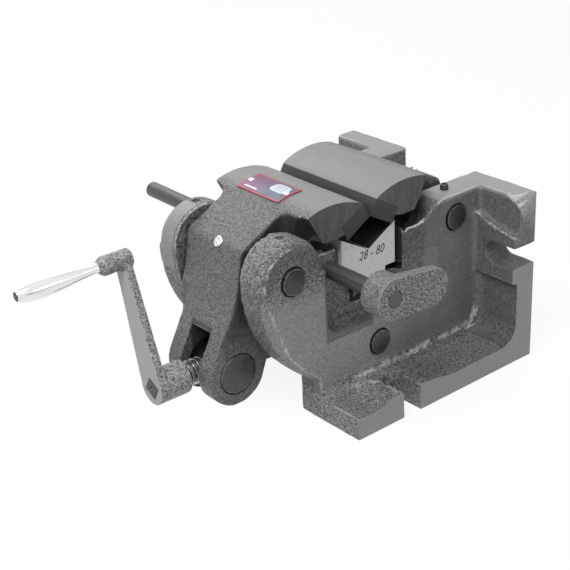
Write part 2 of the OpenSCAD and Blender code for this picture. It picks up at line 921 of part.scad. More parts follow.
module nameplate() {
    color(c_name)
        difference() {
            prism_y(concat(
                arc(crown_x, crown_z, crown_r + fit_gap, name_angle_from, name_angle_to, 20),
                arc(crown_x, crown_z, crown_r + fit_gap + name_t, name_angle_to, name_angle_from, 20)),
                name_y - name_w / 2, name_y + name_w / 2);
            for (t = [-1, 1])
                name_rivet_place(t)
                    cylinder(r = rivet_r + run_gap, h = rivet_deep);
        }
}

module nameplate_rivets() {
    color(c_bright)
        for (t = [-1, 1])
            name_rivet_place(t)
                rotate_extrude()
                    polygon(concat(
                        [[0, -rivet_deep + rivet_r], [rivet_r, -rivet_deep + rivet_r],
                         [rivet_r, name_t + fit_gap + fit_gap]],
                        [for (i = [0:8]) [rivet_head_r * cos(i * 90 / 8),
                            name_t + fit_gap + fit_gap + rivet_head_h * sin(i * 90 / 8)]]));
}

module oiler() {
    oiler_place()
        difference() {
            rotate_extrude()
                polygon([[0, -oiler_deep + fit_gap], [oiler_r, -oiler_deep + fit_gap],
                    [oiler_r, 0], [oiler_head_r, 0], [oiler_head_r, oiler_head_t / 2],
                    [oiler_r, oiler_head_t], [0, oiler_head_t]]);
            translate([0, 0, oiler_head_t])
                sphere(r = oiler_ball_r, $fn = 24);
        }
}

module left_oiler() {
    color(c_bright)
        oiler();
}

module right_oiler() {
    color(c_bright)
        mirror([1, 0, 0])
            oiler();
}

base_casting();
left_jaw();
right_jaw();
left_jaw_plate();
right_jaw_plate();
left_plate_screws();
right_plate_screws();
v_block();
left_pivot_pin();
right_pivot_pin();
centre_pins();
left_lug_screws();
right_lug_screws();
left_trunnion();
right_trunnion();
lead_screw();
centre_block();
thrust_collars();
collar_pins();
crank_arm();
crank_handle();
handle_stud();
stop_rod();
stop_arm();
stop_arm_screw();
rod_lock_screw();
nameplate();
nameplate_rivets();
left_oiler();
right_oiler();
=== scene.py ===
"""Looks of a self centering shaft vise: cast skins, machined steel, thread, plate and studio.

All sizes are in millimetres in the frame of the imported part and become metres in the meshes.
"""
import logging
import math
from dataclasses import dataclass, field
from enum import Enum

import bmesh
import bpy
import numpy as np
from mathutils import Matrix, Vector, kdtree, noise

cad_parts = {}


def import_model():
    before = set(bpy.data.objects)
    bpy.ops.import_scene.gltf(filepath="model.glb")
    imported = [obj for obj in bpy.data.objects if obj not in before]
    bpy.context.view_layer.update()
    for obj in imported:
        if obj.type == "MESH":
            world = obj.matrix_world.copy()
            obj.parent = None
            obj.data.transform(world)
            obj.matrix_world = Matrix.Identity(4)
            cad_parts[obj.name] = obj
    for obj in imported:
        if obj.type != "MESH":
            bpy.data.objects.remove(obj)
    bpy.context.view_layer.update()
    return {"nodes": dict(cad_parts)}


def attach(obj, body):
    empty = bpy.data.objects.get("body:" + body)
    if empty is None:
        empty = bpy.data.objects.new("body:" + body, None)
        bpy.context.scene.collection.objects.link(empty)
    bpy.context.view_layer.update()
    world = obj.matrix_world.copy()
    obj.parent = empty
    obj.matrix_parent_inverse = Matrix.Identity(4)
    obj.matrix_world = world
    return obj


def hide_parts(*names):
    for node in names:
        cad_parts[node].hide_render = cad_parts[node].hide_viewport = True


LOG = logging.getLogger("vise")
MM = 0.001
WELD = 1e-6
ON_PLANE = 2e-5
# Faces flatter than the first angle become one, and edges past the second are broken
FLAT = math.radians(0.6)
CORNER = math.radians(35)
# Reach of a cut that clears the whole piece, in millimetres
CLEAR = 200.0
Point = tuple[float, float, float]
Colour = tuple[float, float, float, float]
Rect = tuple[float, float, float, float]
Mesh = bmesh.types.BMesh
Piece = bpy.types.Object
Material = bpy.types.Material
Socket = bpy.types.NodeSocket


class Axis(Enum):
    """A direction of the part's frame."""

    X = Vector((1, 0, 0))
    Y = Vector((0, 1, 0))
    Z = Vector((0, 0, 1))


class Side(Enum):
    """Which of the two jaws, with the sign of its X."""

    LEFT = -1
    RIGHT = 1


class Skin(Enum):
    """Names of the attributes that a cast surface carries for its paint: worn paint with painted
    highlights, grime with painted shade, and smooth skin.
    """

    # worn carries worn paint and the painted highlight of ridges; hollow carries grime and painted shade.
    WORN = "worn"
    HOLLOW = "hollow"
    SMOOTH = "smooth_skin"


def mm(x: float, y: float, z: float) -> Vector:
    """A place given in millimetres, as a vector in metres."""
    return Vector((x, y, z)) * MM


def ramp(value: np.ndarray, low: float, high: float) -> np.ndarray:
    """Values mapped from low..high to 0..1 and held there; low may be the larger one."""
    return np.clip((value - low) / (high - low), 0, 1)


# Node trees


class Tree:
    """Short calls for placing and linking the nodes of one node tree."""

    def __init__(self, tree: bpy.types.NodeTree) -> None:
        """Keep the tree.

        Args:
            tree: the node tree that every call adds to.
        """
        self.tree = tree

    def node(self, kind: str, inputs: dict | None = None, **settings: object) -> bpy.types.Node:
        """Add a node.

        Args:
            kind: Blender's type name without its ShaderNode prefix.
            inputs: input values, or sockets to link from, by name or index.
            settings: properties of the node.

        Returns:
            The new node.
        """
        made = self.tree.nodes.new("ShaderNode" + kind)
        for key, value in settings.items():
            setattr(made, key, value)
        for key, value in (inputs or {}).items():
            if isinstance(value, Socket):
                self.tree.links.new(value, made.inputs[key])
            else:
                made.inputs[key].default_value = value
        return made

    def math(self, operation: str, *terms: object, clamp: bool = False) -> Socket:
        """Result of a Math node on numbers or sockets."""
        inputs = dict(enumerate(terms))
        return self.node("Math", inputs, operation=operation, use_clamp=clamp).outputs[0]

    def ease(self, value: Socket, low: float, high: float) -> Socket:
        """Value mapped from low..high to 0..1, eased at both ends."""
        inputs = {"Value": value, "From Min": low, "From Max": high}
        return self.node("MapRange", inputs, interpolation_type="SMOOTHSTEP").outputs[0]

    def span(self, value: Socket, low: float, high: float) -> Socket:
        """Value mapped from 0..1 to low..high."""
        return self.math("MULTIPLY_ADD", value, high - low, low)

    def blend(self, share: object, first: object, second: object) -> Socket:
        """Colour mixed from first to second by share."""
        made = self.node("Mix", {0: share, 6: first, 7: second}, data_type="RGBA", blend_type="MIX")
        return made.outputs[2]

    def noise(self, place: object, scale: float, detail: float = 2.0,
              rough: float = 0.5) -> Socket:
        """Value of a noise texture."""
        inputs = {"Vector": place, "Scale": scale, "Detail": detail, "Roughness": rough}
        return self.node("TexNoise", inputs).outputs[0]

    def scaled(self, place: object, per_metre: object) -> Socket:
        """Place in cells of a pattern instead of metres."""
        return self.node("VectorMath", {0: place, 3: per_metre}, operation="SCALE").outputs[0]

    def stretch(self, place: object, scale: Point, turn: Point = (0, 0, 0)) -> Socket:
        """Place turned and then stretched, so that lines lie along the turned axes."""
        turned = self.node("Mapping", {"Vector": place, "Rotation": turn}).outputs[0]
        return self.node("VectorMath", {0: turned, 1: scale}, operation="MULTIPLY").outputs[0]

    def length(self, place: object) -> Socket:
        """Distance of a place from the origin."""
        return self.node("VectorMath", {0: place}, operation="LENGTH").outputs["Value"]

    def link(self, source: Socket, target: Socket) -> None:
        """Join two sockets."""
        self.tree.links.new(source, target)

    def relief(self, shader: bpy.types.Node, height: Socket, depth: float,
               strength: float = 1.0) -> None:
        """Feed a pattern of heights, some millimetres deep, to a shader's normal."""
        made = self.node("Bump", {"Height": height, "Strength": strength, "Distance": depth * MM})
        self.link(made.outputs[0], shader.inputs["Normal"])


class EffectGroups:
    """The shader node groups that more than one finish uses."""

    def __init__(self) -> None:
        """Build every group once."""
        self.grain = self._cast_grain()
        self.wear = self._edge_wear()
        self.lines = self._tool_lines()
        self.rings = self._turned_rings()

    @staticmethod
    def _group(name: str, inputs: dict[str, float | None], outputs: tuple[str, ...]) -> tuple:
        """Start a group.

        Args:
            name: the group's name.
            inputs: default value by socket name, or None for a socket that takes a place.
            outputs: names of the values that the group puts out.

        Returns:
            The group's node tree, its Tree, and its input and output nodes.
        """
        tree = bpy.data.node_groups.new(name, "ShaderNodeTree")
        for key, value in inputs.items():
            kind = "NodeSocketVector" if value is None else "NodeSocketFloat"
            socket = tree.interface.new_socket(key, in_out="INPUT", socket_type=kind)
            if value is not None:
                socket.default_value = value
        for key in outputs:
            tree.interface.new_socket(key, in_out="OUTPUT", socket_type="NodeSocketFloat")
        return tree, Tree(tree), tree.nodes.new("NodeGroupInput"), tree.nodes.new("NodeGroupOutput")

    def _cast_grain(self) -> bpy.types.NodeTree:
        """Grain of hammered paint over sand cast iron.

        Returns:
            The group, which puts out the tone from 0 to 1, the relief's height and the pits.
        """
        tree, t, given, out = self._group(
            "cast_grain", {"Place": None, "Grain per metre": 1000.0, "Smooth": 0.0, "Contrast": 4.0},
            ("Tone", "Height", "Pits"))
        scaled = t.scaled(given.outputs["Place"], given.outputs["Grain per metre"])
        fine = t.noise(scaled, scale=1.0, detail=3.0, rough=0.75)
        coarse = t.noise(scaled, scale=0.36, detail=2.0, rough=0.6)
        broad = t.noise(scaled, scale=0.03, detail=3.0, rough=0.55)
        cells = t.node("TexVoronoi", {"Vector": scaled, "Scale": 0.62, "Randomness": 1.0,
                                      "Smoothness": 0.7}, feature="SMOOTH_F1").outputs["Distance"]
        rough_share = t.math("SUBTRACT", 1.0, given.outputs["Smooth"])
        mixed = t.math("ADD", t.math("MULTIPLY", fine, 0.8), t.math("MULTIPLY", coarse, 0.2))
        strength = t.math("MULTIPLY", t.span(rough_share, 0.12, 1.0), given.outputs["Contrast"])
        swing = t.math("MULTIPLY", t.math("SUBTRACT", mixed, 0.5), strength)
        patchy = t.math("MULTIPLY", swing, t.span(broad, 0.55, 1.45))
        t.link(t.math("ADD", 0.5, patchy, clamp=True), out.inputs["Tone"])
        lumps = t.math("MULTIPLY_ADD", coarse, 1.3, t.math("MULTIPLY_ADD", cells, -0.75, fine))
        t.link(t.math("MULTIPLY", lumps, t.span(rough_share, 0.15, 1.0)), out.inputs["Height"])
        t.link(t.math("MULTIPLY", t.ease(coarse, 0.40, 0.30), rough_share), out.inputs["Pits"])
        return tree

    def _edge_wear(self) -> bpy.types.NodeTree:
        """Breaks a painted mask up into chips and specks.

        Returns:
            The group, which puts out the share that is worn bare.
        """
        tree, t, given, out = self._group(
            "edge_wear", {"Place": None, "Mask": 0.0, "Chips per metre": 700.0}, ("Wear",))
        scaled = t.scaled(given.outputs["Place"], given.outputs["Chips per metre"])
        chips = t.noise(scaled, scale=1.0, detail=3.0, rough=0.7)
        bare = t.math("ADD", given.outputs["Mask"], t.span(chips, -1.12, 0.38))
        t.link(t.ease(bare, 0.0, 0.42), out.inputs["Wear"])
        return tree

    def _tool_lines(self) -> bpy.types.NodeTree:
        """Straight fine lines of a milled or ground face, along the stretched axis.

        Returns:
            The group, which puts out the tone from 0 to 1 and the lines' height.
        """
        tree, t, given, out = self._group(
            "tool_lines", {"Place": None, "Strength": 1.0, "Wide share": 0.4}, ("Tone", "Height"))
        fine = t.noise(given.outputs["Place"], scale=1.0, detail=3.0, rough=0.6)
        wide = t.noise(given.outputs["Place"], scale=0.21, detail=2.0, rough=0.5)
        both = t.math("MULTIPLY_ADD", t.math("SUBTRACT", wide, fine), given.outputs["Wide share"], fine)
        swing = t.math("MULTIPLY", t.math("SUBTRACT", both, 0.5), given.outputs["Strength"])
        t.link(t.math("ADD", 0.5, swing, clamp=True), out.inputs["Tone"])
        t.link(both, out.inputs["Height"])
        return tree

    def _turned_rings(self) -> bpy.types.NodeTree:
        """Rings that a lathe tool leaves round an axis, from the offset to that axis.

        Returns:
            The group, which puts out the tone from 0 to 1 and the rings' height.
        """
        tree, t, given, out = self._group(
            "turned_rings", {"Offset": None, "Rings per metre": 2500.0}, ("Tone", "Height"))
        steps = t.math("MULTIPLY", t.length(given.outputs["Offset"]), given.outputs["Rings per metre"])
        rings = t.noise(t.node("CombineXYZ", {"X": steps}).outputs[0], scale=1.0, detail=2.0, rough=0.6)
        t.link(rings, out.inputs["Tone"])
        t.link(rings, out.inputs["Height"])
        return tree


# Finishes


@dataclass(frozen=True)
class CastPaint:
    """Hammered paint on a casting.

    Args:
        name: the material's name.
        deep: colour in the grain's hollows.
        high: colour on the grain's tops.
        skin: colour where the casting is dressed smooth.
        worn: colour of worn edges, and of the painted highlight on ridges.
        grain: grains per metre.
        contrast: how far the grain swings the colour.
        relief: depth of the grain in millimetres.
        rough: roughness of the paint.
        pit: colour in the pits.
        dirt: colour of grime, and of painted shade in creases and sheltered places.
        chips: chips along a worn edge for each grain.
    """

    name: str
    deep: Colour
    high: Colour
    skin: Colour
    worn: Colour
    grain: float
    contrast: float
    relief: float
    rough: float
    pit: Colour = (0.05, 0.05, 0.052, 1)
    dirt: Colour = (0.028, 0.028, 0.029, 1)
    chips: float = 0.9

    def build(self, groups: EffectGroups) -> Material:
        """Make the material.

        Args:
            groups: the shared effects.

        Returns:
            The material.
        """
        material, t, place, shader = start_material(self.name)
        smooth, worn, hollow = (t.node("Attribute", attribute_name=mark.value).outputs["Fac"]
                                for mark in (Skin.SMOOTH, Skin.WORN, Skin.HOLLOW))
        grain = t.node("Group", {"Place": place, "Smooth": smooth, "Grain per metre": self.grain,
                                 "Contrast": self.contrast}, node_tree=groups.grain)
        wear = t.node("Group", {"Place": place, "Mask": worn, "Chips per metre": self.grain * self.chips},
                      node_tree=groups.wear).outputs["Wear"]
        tone = grain.outputs["Tone"]
        painted = t.blend(tone, self.deep, self.high)
        dressed_skin = t.blend(tone, dimmed(self.skin, 0.82), self.skin)
        coloured = t.blend(smooth, painted, dressed_skin)
        pitted = t.blend(t.math("MULTIPLY", grain.outputs["Pits"], 0.55), coloured, self.pit)
        # Grime and painted shade: the hollow mark darkens creases and sheltered places toward that colour.
        dirty = t.blend(t.math("MULTIPLY", hollow, 0.8), pitted, self.dirt)
        # Worn paint and the ridges' painted highlight lighten the paint toward the worn colour.
        t.link(t.blend(wear, dirty, self.worn), shader.inputs["Base Color"])
        rough = t.span(tone, self.rough + 0.06, self.rough - 0.06)
        t.link(t.math("MULTIPLY_ADD", wear, -0.1, rough), shader.inputs["Roughness"])
        t.relief(shader, grain.outputs["Height"], self.relief)
        return material


@dataclass(frozen=True)
class MachinedFace:
    """A milled, ground or turned steel or iron face.

    Args:
        name: the material's name.
        dark: colour in the tool's lines.
        light: colour between them.
        metal: metallic share.
        rough: roughness.
        stretch: lines per metre along X, Y and Z.
        turn: turn of the lines in degrees about X, Y and Z.
        relief: depth of the lines in millimetres.
        contrast: how far the lines swing the colour.
        cloud: how far broad clouds swing it.
        wide: share of broad lines among the fine ones.
    """

    name: str
    dark: Colour
    light: Colour
    metal: float
    rough: float
    stretch: Point
    turn: Point = (0, 0, 0)
    relief: float = 0.02
    contrast: float = 2.0
    cloud: float = 0.5
    wide: float = 0.4

    def build(self, groups: EffectGroups) -> Material:
        """Make the material.

        Args:
            groups: the shared effects.

        Returns:
            The material.
        """
        material, t, place, shader = start_material(self.name)
        shader.inputs["Metallic"].default_value = self.metal
        turned = t.stretch(place, self.stretch, tuple(math.radians(a) for a in self.turn))
        lines = t.node("Group", {"Place": turned, "Strength": self.contrast, "Wide share": self.wide},
                       node_tree=groups.lines)
        clouds = t.noise(place, scale=90.0, detail=3.0, rough=0.6)
        drift = t.span(clouds, -self.cloud / 2, self.cloud / 2)
        tone = t.math("ADD", lines.outputs["Tone"], drift, clamp=True)
        t.link(t.blend(tone, self.dark, self.light), shader.inputs["Base Color"])
        t.link(t.span(clouds, self.rough - 0.1, self.rough + 0.1), shader.inputs["Roughness"])
        t.relief(shader, lines.outputs["Height"], self.relief)
        return material


@dataclass(frozen=True)
class TurnedSteel:
    """Round steel with lathe rings on its ends, a bright worn rim, and a painted shadow round its outer
    edge.

    Args:
        name: the material's name.
        colour: colour of the steel.
        rim: colour of the worn rim.
        axis: direction of the round axis.
        centre: a point on the axis, in millimetres.
        radius: radius of the worn rim, in millimetres.
        metal: metallic share.
        rough: roughness.
        rim_insets: how far inside the radius the rim starts, is full, fades and ends.
        oil_insets: how far inside the radius the painted shadow of the gap round the steel starts and is
            full.
        oil: colour of that painted shadow.
    """

    name: str
    colour: Colour
    rim: Colour
    axis: Axis
    centre: Point
    radius: float
    metal: float = 0.8
    rough: float = 0.42
    rim_insets: Rect = (1.5, 1.2, 1.0, 0.8)
    oil_insets: tuple[float, float] = (0.75, 0.5)
    oil: Colour = (0.008, 0.008, 0.008, 1)

    def build(self, groups: EffectGroups) -> Material:
        """Make the material.

        Args:
            groups: the shared effects.

        Returns:
            The material.
        """
        material, t, place, shader = start_material(self.name)
        shader.inputs["Metallic"].default_value = self.metal
        across = tuple(1.0 - abs(c) for c in self.axis.value)
        start = tuple(c * MM for c in self.centre)
        shifted = t.node("VectorMath", {0: place, 1: start}, operation="SUBTRACT").outputs[0]
        offset = t.node("VectorMath", {0: shifted, 1: across}, operation="MULTIPLY").outputs[0]
        rings = t.node("Group", {"Offset": offset}, node_tree=groups.rings)
        far = t.length(offset)
        start, full, fade, end = ((self.radius - inset) * MM for inset in self.rim_insets)
        edge = t.math("MULTIPLY", t.ease(far, start, full), t.ease(far, end, fade))
        oil_start, oil_full = ((self.radius - inset) * MM for inset in self.oil_insets)
        scuff = t.noise(place, scale=420.0, detail=3.0, rough=0.65)
        bare = t.math("MULTIPLY", t.math("MULTIPLY", edge, t.ease(scuff, 0.4, 0.62)), 0.6)
        tone = t.math("ADD", t.math("MULTIPLY", rings.outputs["Tone"], 0.5),
                      t.math("MULTIPLY", scuff, 0.5))
        base = t.blend(t.ease(tone, 0.35, 0.65), dimmed(self.colour, 0.6), self.colour)
        worn = t.blend(bare, base, self.rim)
        # Painted shadow: the outer edge darkens as the shade in the gap round the steel.
        t.link(t.blend(t.ease(far, oil_start, oil_full), worn, self.oil), shader.inputs["Base Color"])
        t.link(t.span(scuff, self.rough - 0.15, self.rough + 0.15), shader.inputs["Roughness"])
        t.relief(shader, rings.outputs["Height"], depth=0.03, strength=0.6)
        return material


@dataclass(frozen=True)
class BarSteel:
    """Plain steel bar or fitting with scuffs.

    Args:
        name: the material's name.
        dark: darker colour of its clouds.
        light: lighter colour of its clouds.
        metal: metallic share.
        rough: roughness.
        stretch: clouds per metre along X, Y and Z.
        relief: depth of the scuffs in millimetres.
    """

    name: str
    dark: Colour
    light: Colour
    metal: float
    rough: float
    stretch: Point = (600, 60, 600)
    relief: float = 0.01

    def build(self, groups: EffectGroups) -> Material:
        """Make the material.

        Args:
            groups: the shared effects, of which this finish needs none.

        Returns:
            The material.
        """
        material, t, place, shader = start_material(self.name)
        shader.inputs["Metallic"].default_value = self.metal
        drawn = t.noise(t.stretch(place, self.stretch), scale=1.0, detail=4.0, rough=0.6)
        specks = t.noise(place, scale=900.0, detail=2.0, rough=0.6)
        tone = t.math("ADD", t.math("MULTIPLY", drawn, 0.7), t.math("MULTIPLY", specks, 0.3))
        t.link(t.blend(t.ease(tone, 0.32, 0.68), self.dark, self.light), shader.inputs["Base Color"])
        t.link(t.span(specks, self.rough - 0.12, self.rough + 0.12), shader.inputs["Roughness"])
        t.relief(shader, tone, self.relief, strength=0.8)
        return material


@dataclass(frozen=True)
class PrintedPlate:
    """Printed aluminium nameplate without words: border, field, a pale label with rules.

    Args:
        name: the material's name.
        border: colour of the border.
        slate: first colour of the field.
        plum: second colour of the field.
        pale: colour of the label and the stripe.
        width: width of the plate in millimetres.
        length: length of the plate in millimetres.
        label: low across, low along, high across and high along of the pale label.
        label_round: how far its corners are rounded.
        rules: places across the plate of the label's dark rules.
        rule_ends: where the rules start and end along the plate.
        rule_w: width of a rule.
        stripe: the pale stripe's corners, as the label's.
        rim: width of the border.
        scuffed: colour where the print is scuffed.
    """

    name: str
    border: Colour
    slate: Colour
    plum: Colour
    pale: Colour
    width: float
    length: float
    label: Rect = (8.4, 4.6, 18.6, 21.0)
    label_round: float = 4.2
    rules: tuple[float, ...] = (10.6, 12.6, 14.6, 16.4)
    rule_ends: tuple[float, float] = (8.0, 17.6)
    rule_w: float = 0.5
    stripe: Rect = (3.0, 27.0, 4.6, 40.5)
    rim: float = 1.2
    scuffed: Colour = (0.45, 0.44, 0.47, 1)

    def build(self, groups: EffectGroups) -> Material:
        """Make the material.

        Args:
            groups: the shared effects; the wear group scuffs the print.

        Returns:
            The material.
        """
        material, t, place, shader = start_material(self.name)
        uv = t.node("UVMap", uv_map="plate").outputs[0]
        split = t.node("SeparateXYZ", {0: uv})
        across = t.math("MULTIPLY", split.outputs[0], self.width)
        along = t.math("MULTIPLY", split.outputs[1], self.length)
        clouds = t.noise(place, scale=260.0, detail=4.0, rough=0.65)
        mixed = t.math("MULTIPLY_ADD", split.outputs[1], 0.9, t.math("MULTIPLY", clouds, 1.3))
        base = t.blend(t.ease(mixed, 0.85, 1.45), self.slate, self.plum)
        base = t.blend(self._patch(t, across, along, self.label, self.label_round), base, self.pale)
        low, high = self.rule_ends
        for rule in self.rules:
            line = self._patch(t, across, along, (rule, low, rule + self.rule_w, high), 0.2)
            base = t.blend(t.math("MULTIPLY", line, 0.7), base, self.slate)
        base = t.blend(self._patch(t, across, along, self.stripe, 0.5), base, self.pale)
        inner = (self.rim, self.rim, self.width - self.rim, self.length - self.rim)
        base = t.blend(self._patch(t, across, along, inner, 0.6), self.border, base)
        wear = t.node("Group", {"Place": place, "Mask": 0.22, "Chips per metre": 900.0},
                      node_tree=groups.wear)
        scuffs = t.math("MULTIPLY", wear.outputs["Wear"], 0.7)
        t.link(t.blend(scuffs, base, self.scuffed), shader.inputs["Base Color"])
        t.link(t.span(clouds, 0.18, 0.48), shader.inputs["Roughness"])
        return material

    @staticmethod
    def _patch(t: Tree, across: object, along: object, box: Rect, radius: float,
               soft: float = 0.12) -> Socket:
        """Mask of a rectangle with round corners.

        Args:
            t: the tree to build in.
            across: position across the plate, in millimetres.
            along: position along the plate, in millimetres.
            box: low across, low along, high across, high along.
            radius: radius of the corners.
            soft: half the width of the blurred edge.

        Returns:
            The mask's socket.
        """
        squares = []
        for place, low, high in ((across, box[0], box[2]), (along, box[1], box[3])):
            offset = t.math("ABSOLUTE", t.math("SUBTRACT", place, (low + high) / 2))
            past = t.math("MAXIMUM", t.math("SUBTRACT", offset, (high - low) / 2 - radius), 0.0)
            squares.append(t.math("MULTIPLY", past, past))
        return t.ease(t.math("SQRT", t.math("ADD", *squares)), radius + soft, radius - soft)


def start_material(name: str) -> tuple[Material, Tree, Socket, bpy.types.Node]:
    """Start a material.

    Args:
        name: the material's name.

    Returns:
        The material, its Tree, the Object coordinates and its Principled shader.
    """
    material = bpy.data.materials.new(name)
    material.use_nodes = True
    t = Tree(material.node_tree)
    place = t.node("TexCoord").outputs["Object"]
    return material, t, place, material.node_tree.nodes["Principled BSDF"]


def grey(value: float, warm: float = 0.0) -> Colour:
    """A neutral colour, a little warmer or cooler."""
    return (value * (1 + warm), value, value * (1 - warm), 1.0)


def dimmed(colour: Colour, share: float) -> Colour:
    """A colour at a share of its brightness."""
    return tuple(c * share for c in colour[:3]) + (1,)


class Finishes:
    """Every material of the vise, built once."""

    def __init__(self) -> None:
        """Build the groups and the finishes."""
        groups = EffectGroups()
        self.groups = groups
        self.base = CastPaint(
            "base_hammer_paint", deep=grey(0.02), high=grey(0.33), skin=grey(0.33), worn=grey(0.5),
            grain=1200, contrast=10.0, relief=0.45, rough=0.46).build(groups)
        self.jaw = CastPaint(
            "jaw_hammer_paint", deep=grey(0.035), high=grey(0.235), skin=grey(0.27), worn=grey(0.45),
            grain=1400, contrast=9.5, relief=0.28, rough=0.46).build(groups)
        self.stop = CastPaint(
            "stop_arm_paint", deep=grey(0.06), high=grey(0.3), skin=grey(0.32), worn=grey(0.6),
            grain=1400, contrast=7.0, relief=0.22, rough=0.42).build(groups)
        self.crank = CastPaint(
            "crank_paint", deep=grey(0.06), high=grey(0.48), skin=grey(0.42), worn=grey(0.75),
            grain=1250, contrast=9.0, relief=0.32, rough=0.42).build(groups)
        self.base_cut = MachinedFace(
            "base_milled_face", dark=grey(0.19), light=grey(0.28), metal=0.0, rough=0.5,
            stretch=(260, 260, 700), relief=0.02, contrast=1.6).build(groups)
        self.jaw_cut = MachinedFace(
            "jaw_milled_face", dark=grey(0.045), light=grey(0.1), metal=0.1, rough=0.5,
            stretch=(1100, 200, 240), turn=(0, -8, 0), relief=0.05, contrast=4.0).build(groups)
        self.stop_cut = MachinedFace(
            "stop_arm_rasped_face", dark=grey(0.02), light=grey(0.29), metal=0.0, rough=0.46,
            stretch=(430, 100, 1150), turn=(0, 8, 0), relief=0.4, contrast=7.5, cloud=0.2,
            wide=0.08).build(groups)
        self.crank_cut = MachinedFace(
            "crank_ground_face", dark=grey(0.36), light=grey(0.44), metal=0.1, rough=0.42,
            stretch=(200, 900, 120), turn=(16, 0, 0), relief=0.02, contrast=1.2).build(groups)
        self.plate = MachinedFace(
            "jaw_plate_ground", dark=grey(0.02), light=grey(0.042), metal=0.1, rough=0.55,
            stretch=(140, 40, 1500), relief=0.01, contrast=1.5).build(groups)
        self.block = MachinedFace(
            "v_block_ground", dark=grey(0.48), light=grey(0.66), metal=0.1, rough=0.4,
            stretch=(380, 60, 420), relief=0.008, contrast=2.4, cloud=0.4).build(groups)
        # Near-black painted shade for the V's slopes, the block's seated part and the groove beside it.
        self.vee = MachinedFace(
            "v_block_oiled_slope", dark=grey(0.03), light=grey(0.05), metal=0.3, rough=0.4,
            stretch=(180, 60, 900), relief=0.008, contrast=1.2).build(groups)
        self.ink = BarSteel("numeral_blacking", grey(0.02), grey(0.04), metal=0.0, rough=0.6).build(groups)
        self.rod = BarSteel("rod_blued_steel", grey(0.065), grey(0.105), metal=0.5, rough=0.45,
                            stretch=(500, 30, 500)).build(groups)
        self.screws = BarSteel("screw_blued_steel", grey(0.04), grey(0.08), metal=0.7,
                               rough=0.4).build(groups)
        self.thread = BarSteel("thread_oiled_steel", grey(0.24), grey(0.55, 0.02), metal=0.95, rough=0.26,
                               stretch=(300, 700, 700)).build(groups)
        self.square = BarSteel("screw_end_steel", grey(0.05), grey(0.1), metal=0.6,
                               rough=0.42).build(groups)
        self.nut = BarSteel("centre_block_steel", grey(0.1), grey(0.17), metal=0.7, rough=0.45,
                            stretch=(100, 500, 500)).build(groups)
        self.chrome = BarSteel("handle_polish", grey(0.72), grey(0.86), metal=1.0, rough=0.16,
                               stretch=(30, 400, 400), relief=0.004).build(groups)
        self.bright = BarSteel("rivet_bright", grey(0.7), grey(0.85), metal=0.9, rough=0.3).build(groups)
        self.print = PrintedPlate(
            "nameplate_print", border=(0.42, 0.03, 0.07, 1), slate=(0.07, 0.10, 0.16, 1),
            plum=(0.2, 0.045, 0.14, 1), pale=(0.66, 0.68, 0.74, 1), width=21.8, length=45.0).build(groups)

    def turned(self, name: str, axis: Axis, centre: Point, radius: float,
               tone: float = 0.075) -> Material:
        """Turned steel round one axis, with a worn rim and a painted shadow round its edge."""
        return TurnedSteel(name, grey(tone), grey(0.42), axis, centre, radius).build(self.groups)


# Mesh work


def box_mesh(low: Point, high: Point, turn: Matrix | None = None) -> Mesh:
    """A closed box between two corners.

    Args:
        low: low corner in millimetres.
        high: high corner in millimetres.
        turn: a transform for the finished box, in metres.

    Returns:
        The mesh.
    """
    bm = bmesh.new()
    size = mm(*high) - mm(*low)
    place = Matrix.Translation((mm(*low) + mm(*high)) / 2) @ Matrix.Diagonal((*size, 1))
    bmesh.ops.create_cube(bm, size=1.0, matrix=(turn or Matrix()) @ place)
    return bm


def bar_mesh(axis: Axis, start: Point, end: float, radius: float, sides: int = 96,
             turn: Matrix | None = None) -> Mesh:
    """A closed round bar along an axis.

    Args:
        axis: the bar's direction.
        start: centre of its first end, in millimetres.
        end: coordinate of its other end along the axis.
        radius: its radius in millimetres.
        sides: number of sides.
        turn: a transform for the finished bar, in metres.

    Returns:
        The mesh.
    """
    bm = bmesh.new()
    first = mm(*start)
    length = end * MM - first.dot(axis.value)
    place = Matrix.Translation(first + axis.value * length / 2)
    spin = Vector((0, 0, 1)).rotation_difference(axis.value).to_matrix().to_4x4()
    bmesh.ops.create_cone(bm, cap_ends=True, segments=sides, radius1=radius * MM, radius2=radius * MM,
                          depth=abs(length), matrix=(turn or Matrix()) @ place @ spin)
    return bm


def prism_mesh(outline: list[tuple[float, float]], y0: float, y1: float) -> Mesh:
    """A closed prism along Y.

    Args:
        outline: its corners as X and Z in millimetres.
        y0: low end in millimetres.
        y1: high end in millimetres.

    Returns:
        The mesh.
    """
    bm = bmesh.new()
    face = bm.faces.new([bm.verts.new(mm(x, y0, z)) for x, z in outline])
    grown = bmesh.ops.extrude_face_region(bm, geom=[face])["geom"]
    moved = [v for v in grown if isinstance(v, bmesh.types.BMVert)]
    bmesh.ops.translate(bm, verts=moved, vec=mm(0, y1 - y0, 0))
    bmesh.ops.recalc_face_normals(bm, faces=bm.faces)
    return bm


def lathe_mesh(profile: list[tuple[float, float]], place: Matrix, steps: int = 64) -> Mesh:
    """A closed turned shape round its local Z.

    Args:
        profile: radius and height in millimetres, starting and ending on the axis.
        place: the finished shape's transform, in metres.
        steps: faces round the shape.

    Returns:
        The mesh.
    """
    bm = bmesh.new()
    verts = [bm.verts.new(mm(r, 0, h)) for r, h in profile]
    edges = [bm.edges.new(pair) for pair in zip(verts, verts[1:])]
    bmesh.ops.spin(bm, geom=verts + edges, cent=(0, 0, 0), axis=(0, 0, 1), angle=math.tau,
                   steps=steps, use_merge=True)
    bmesh.ops.remove_doubles(bm, verts=bm.verts, dist=WELD)
    bmesh.ops.recalc_face_normals(bm, faces=bm.faces)
    bmesh.ops.transform(bm, matrix=place, verts=bm.verts)
    return bm


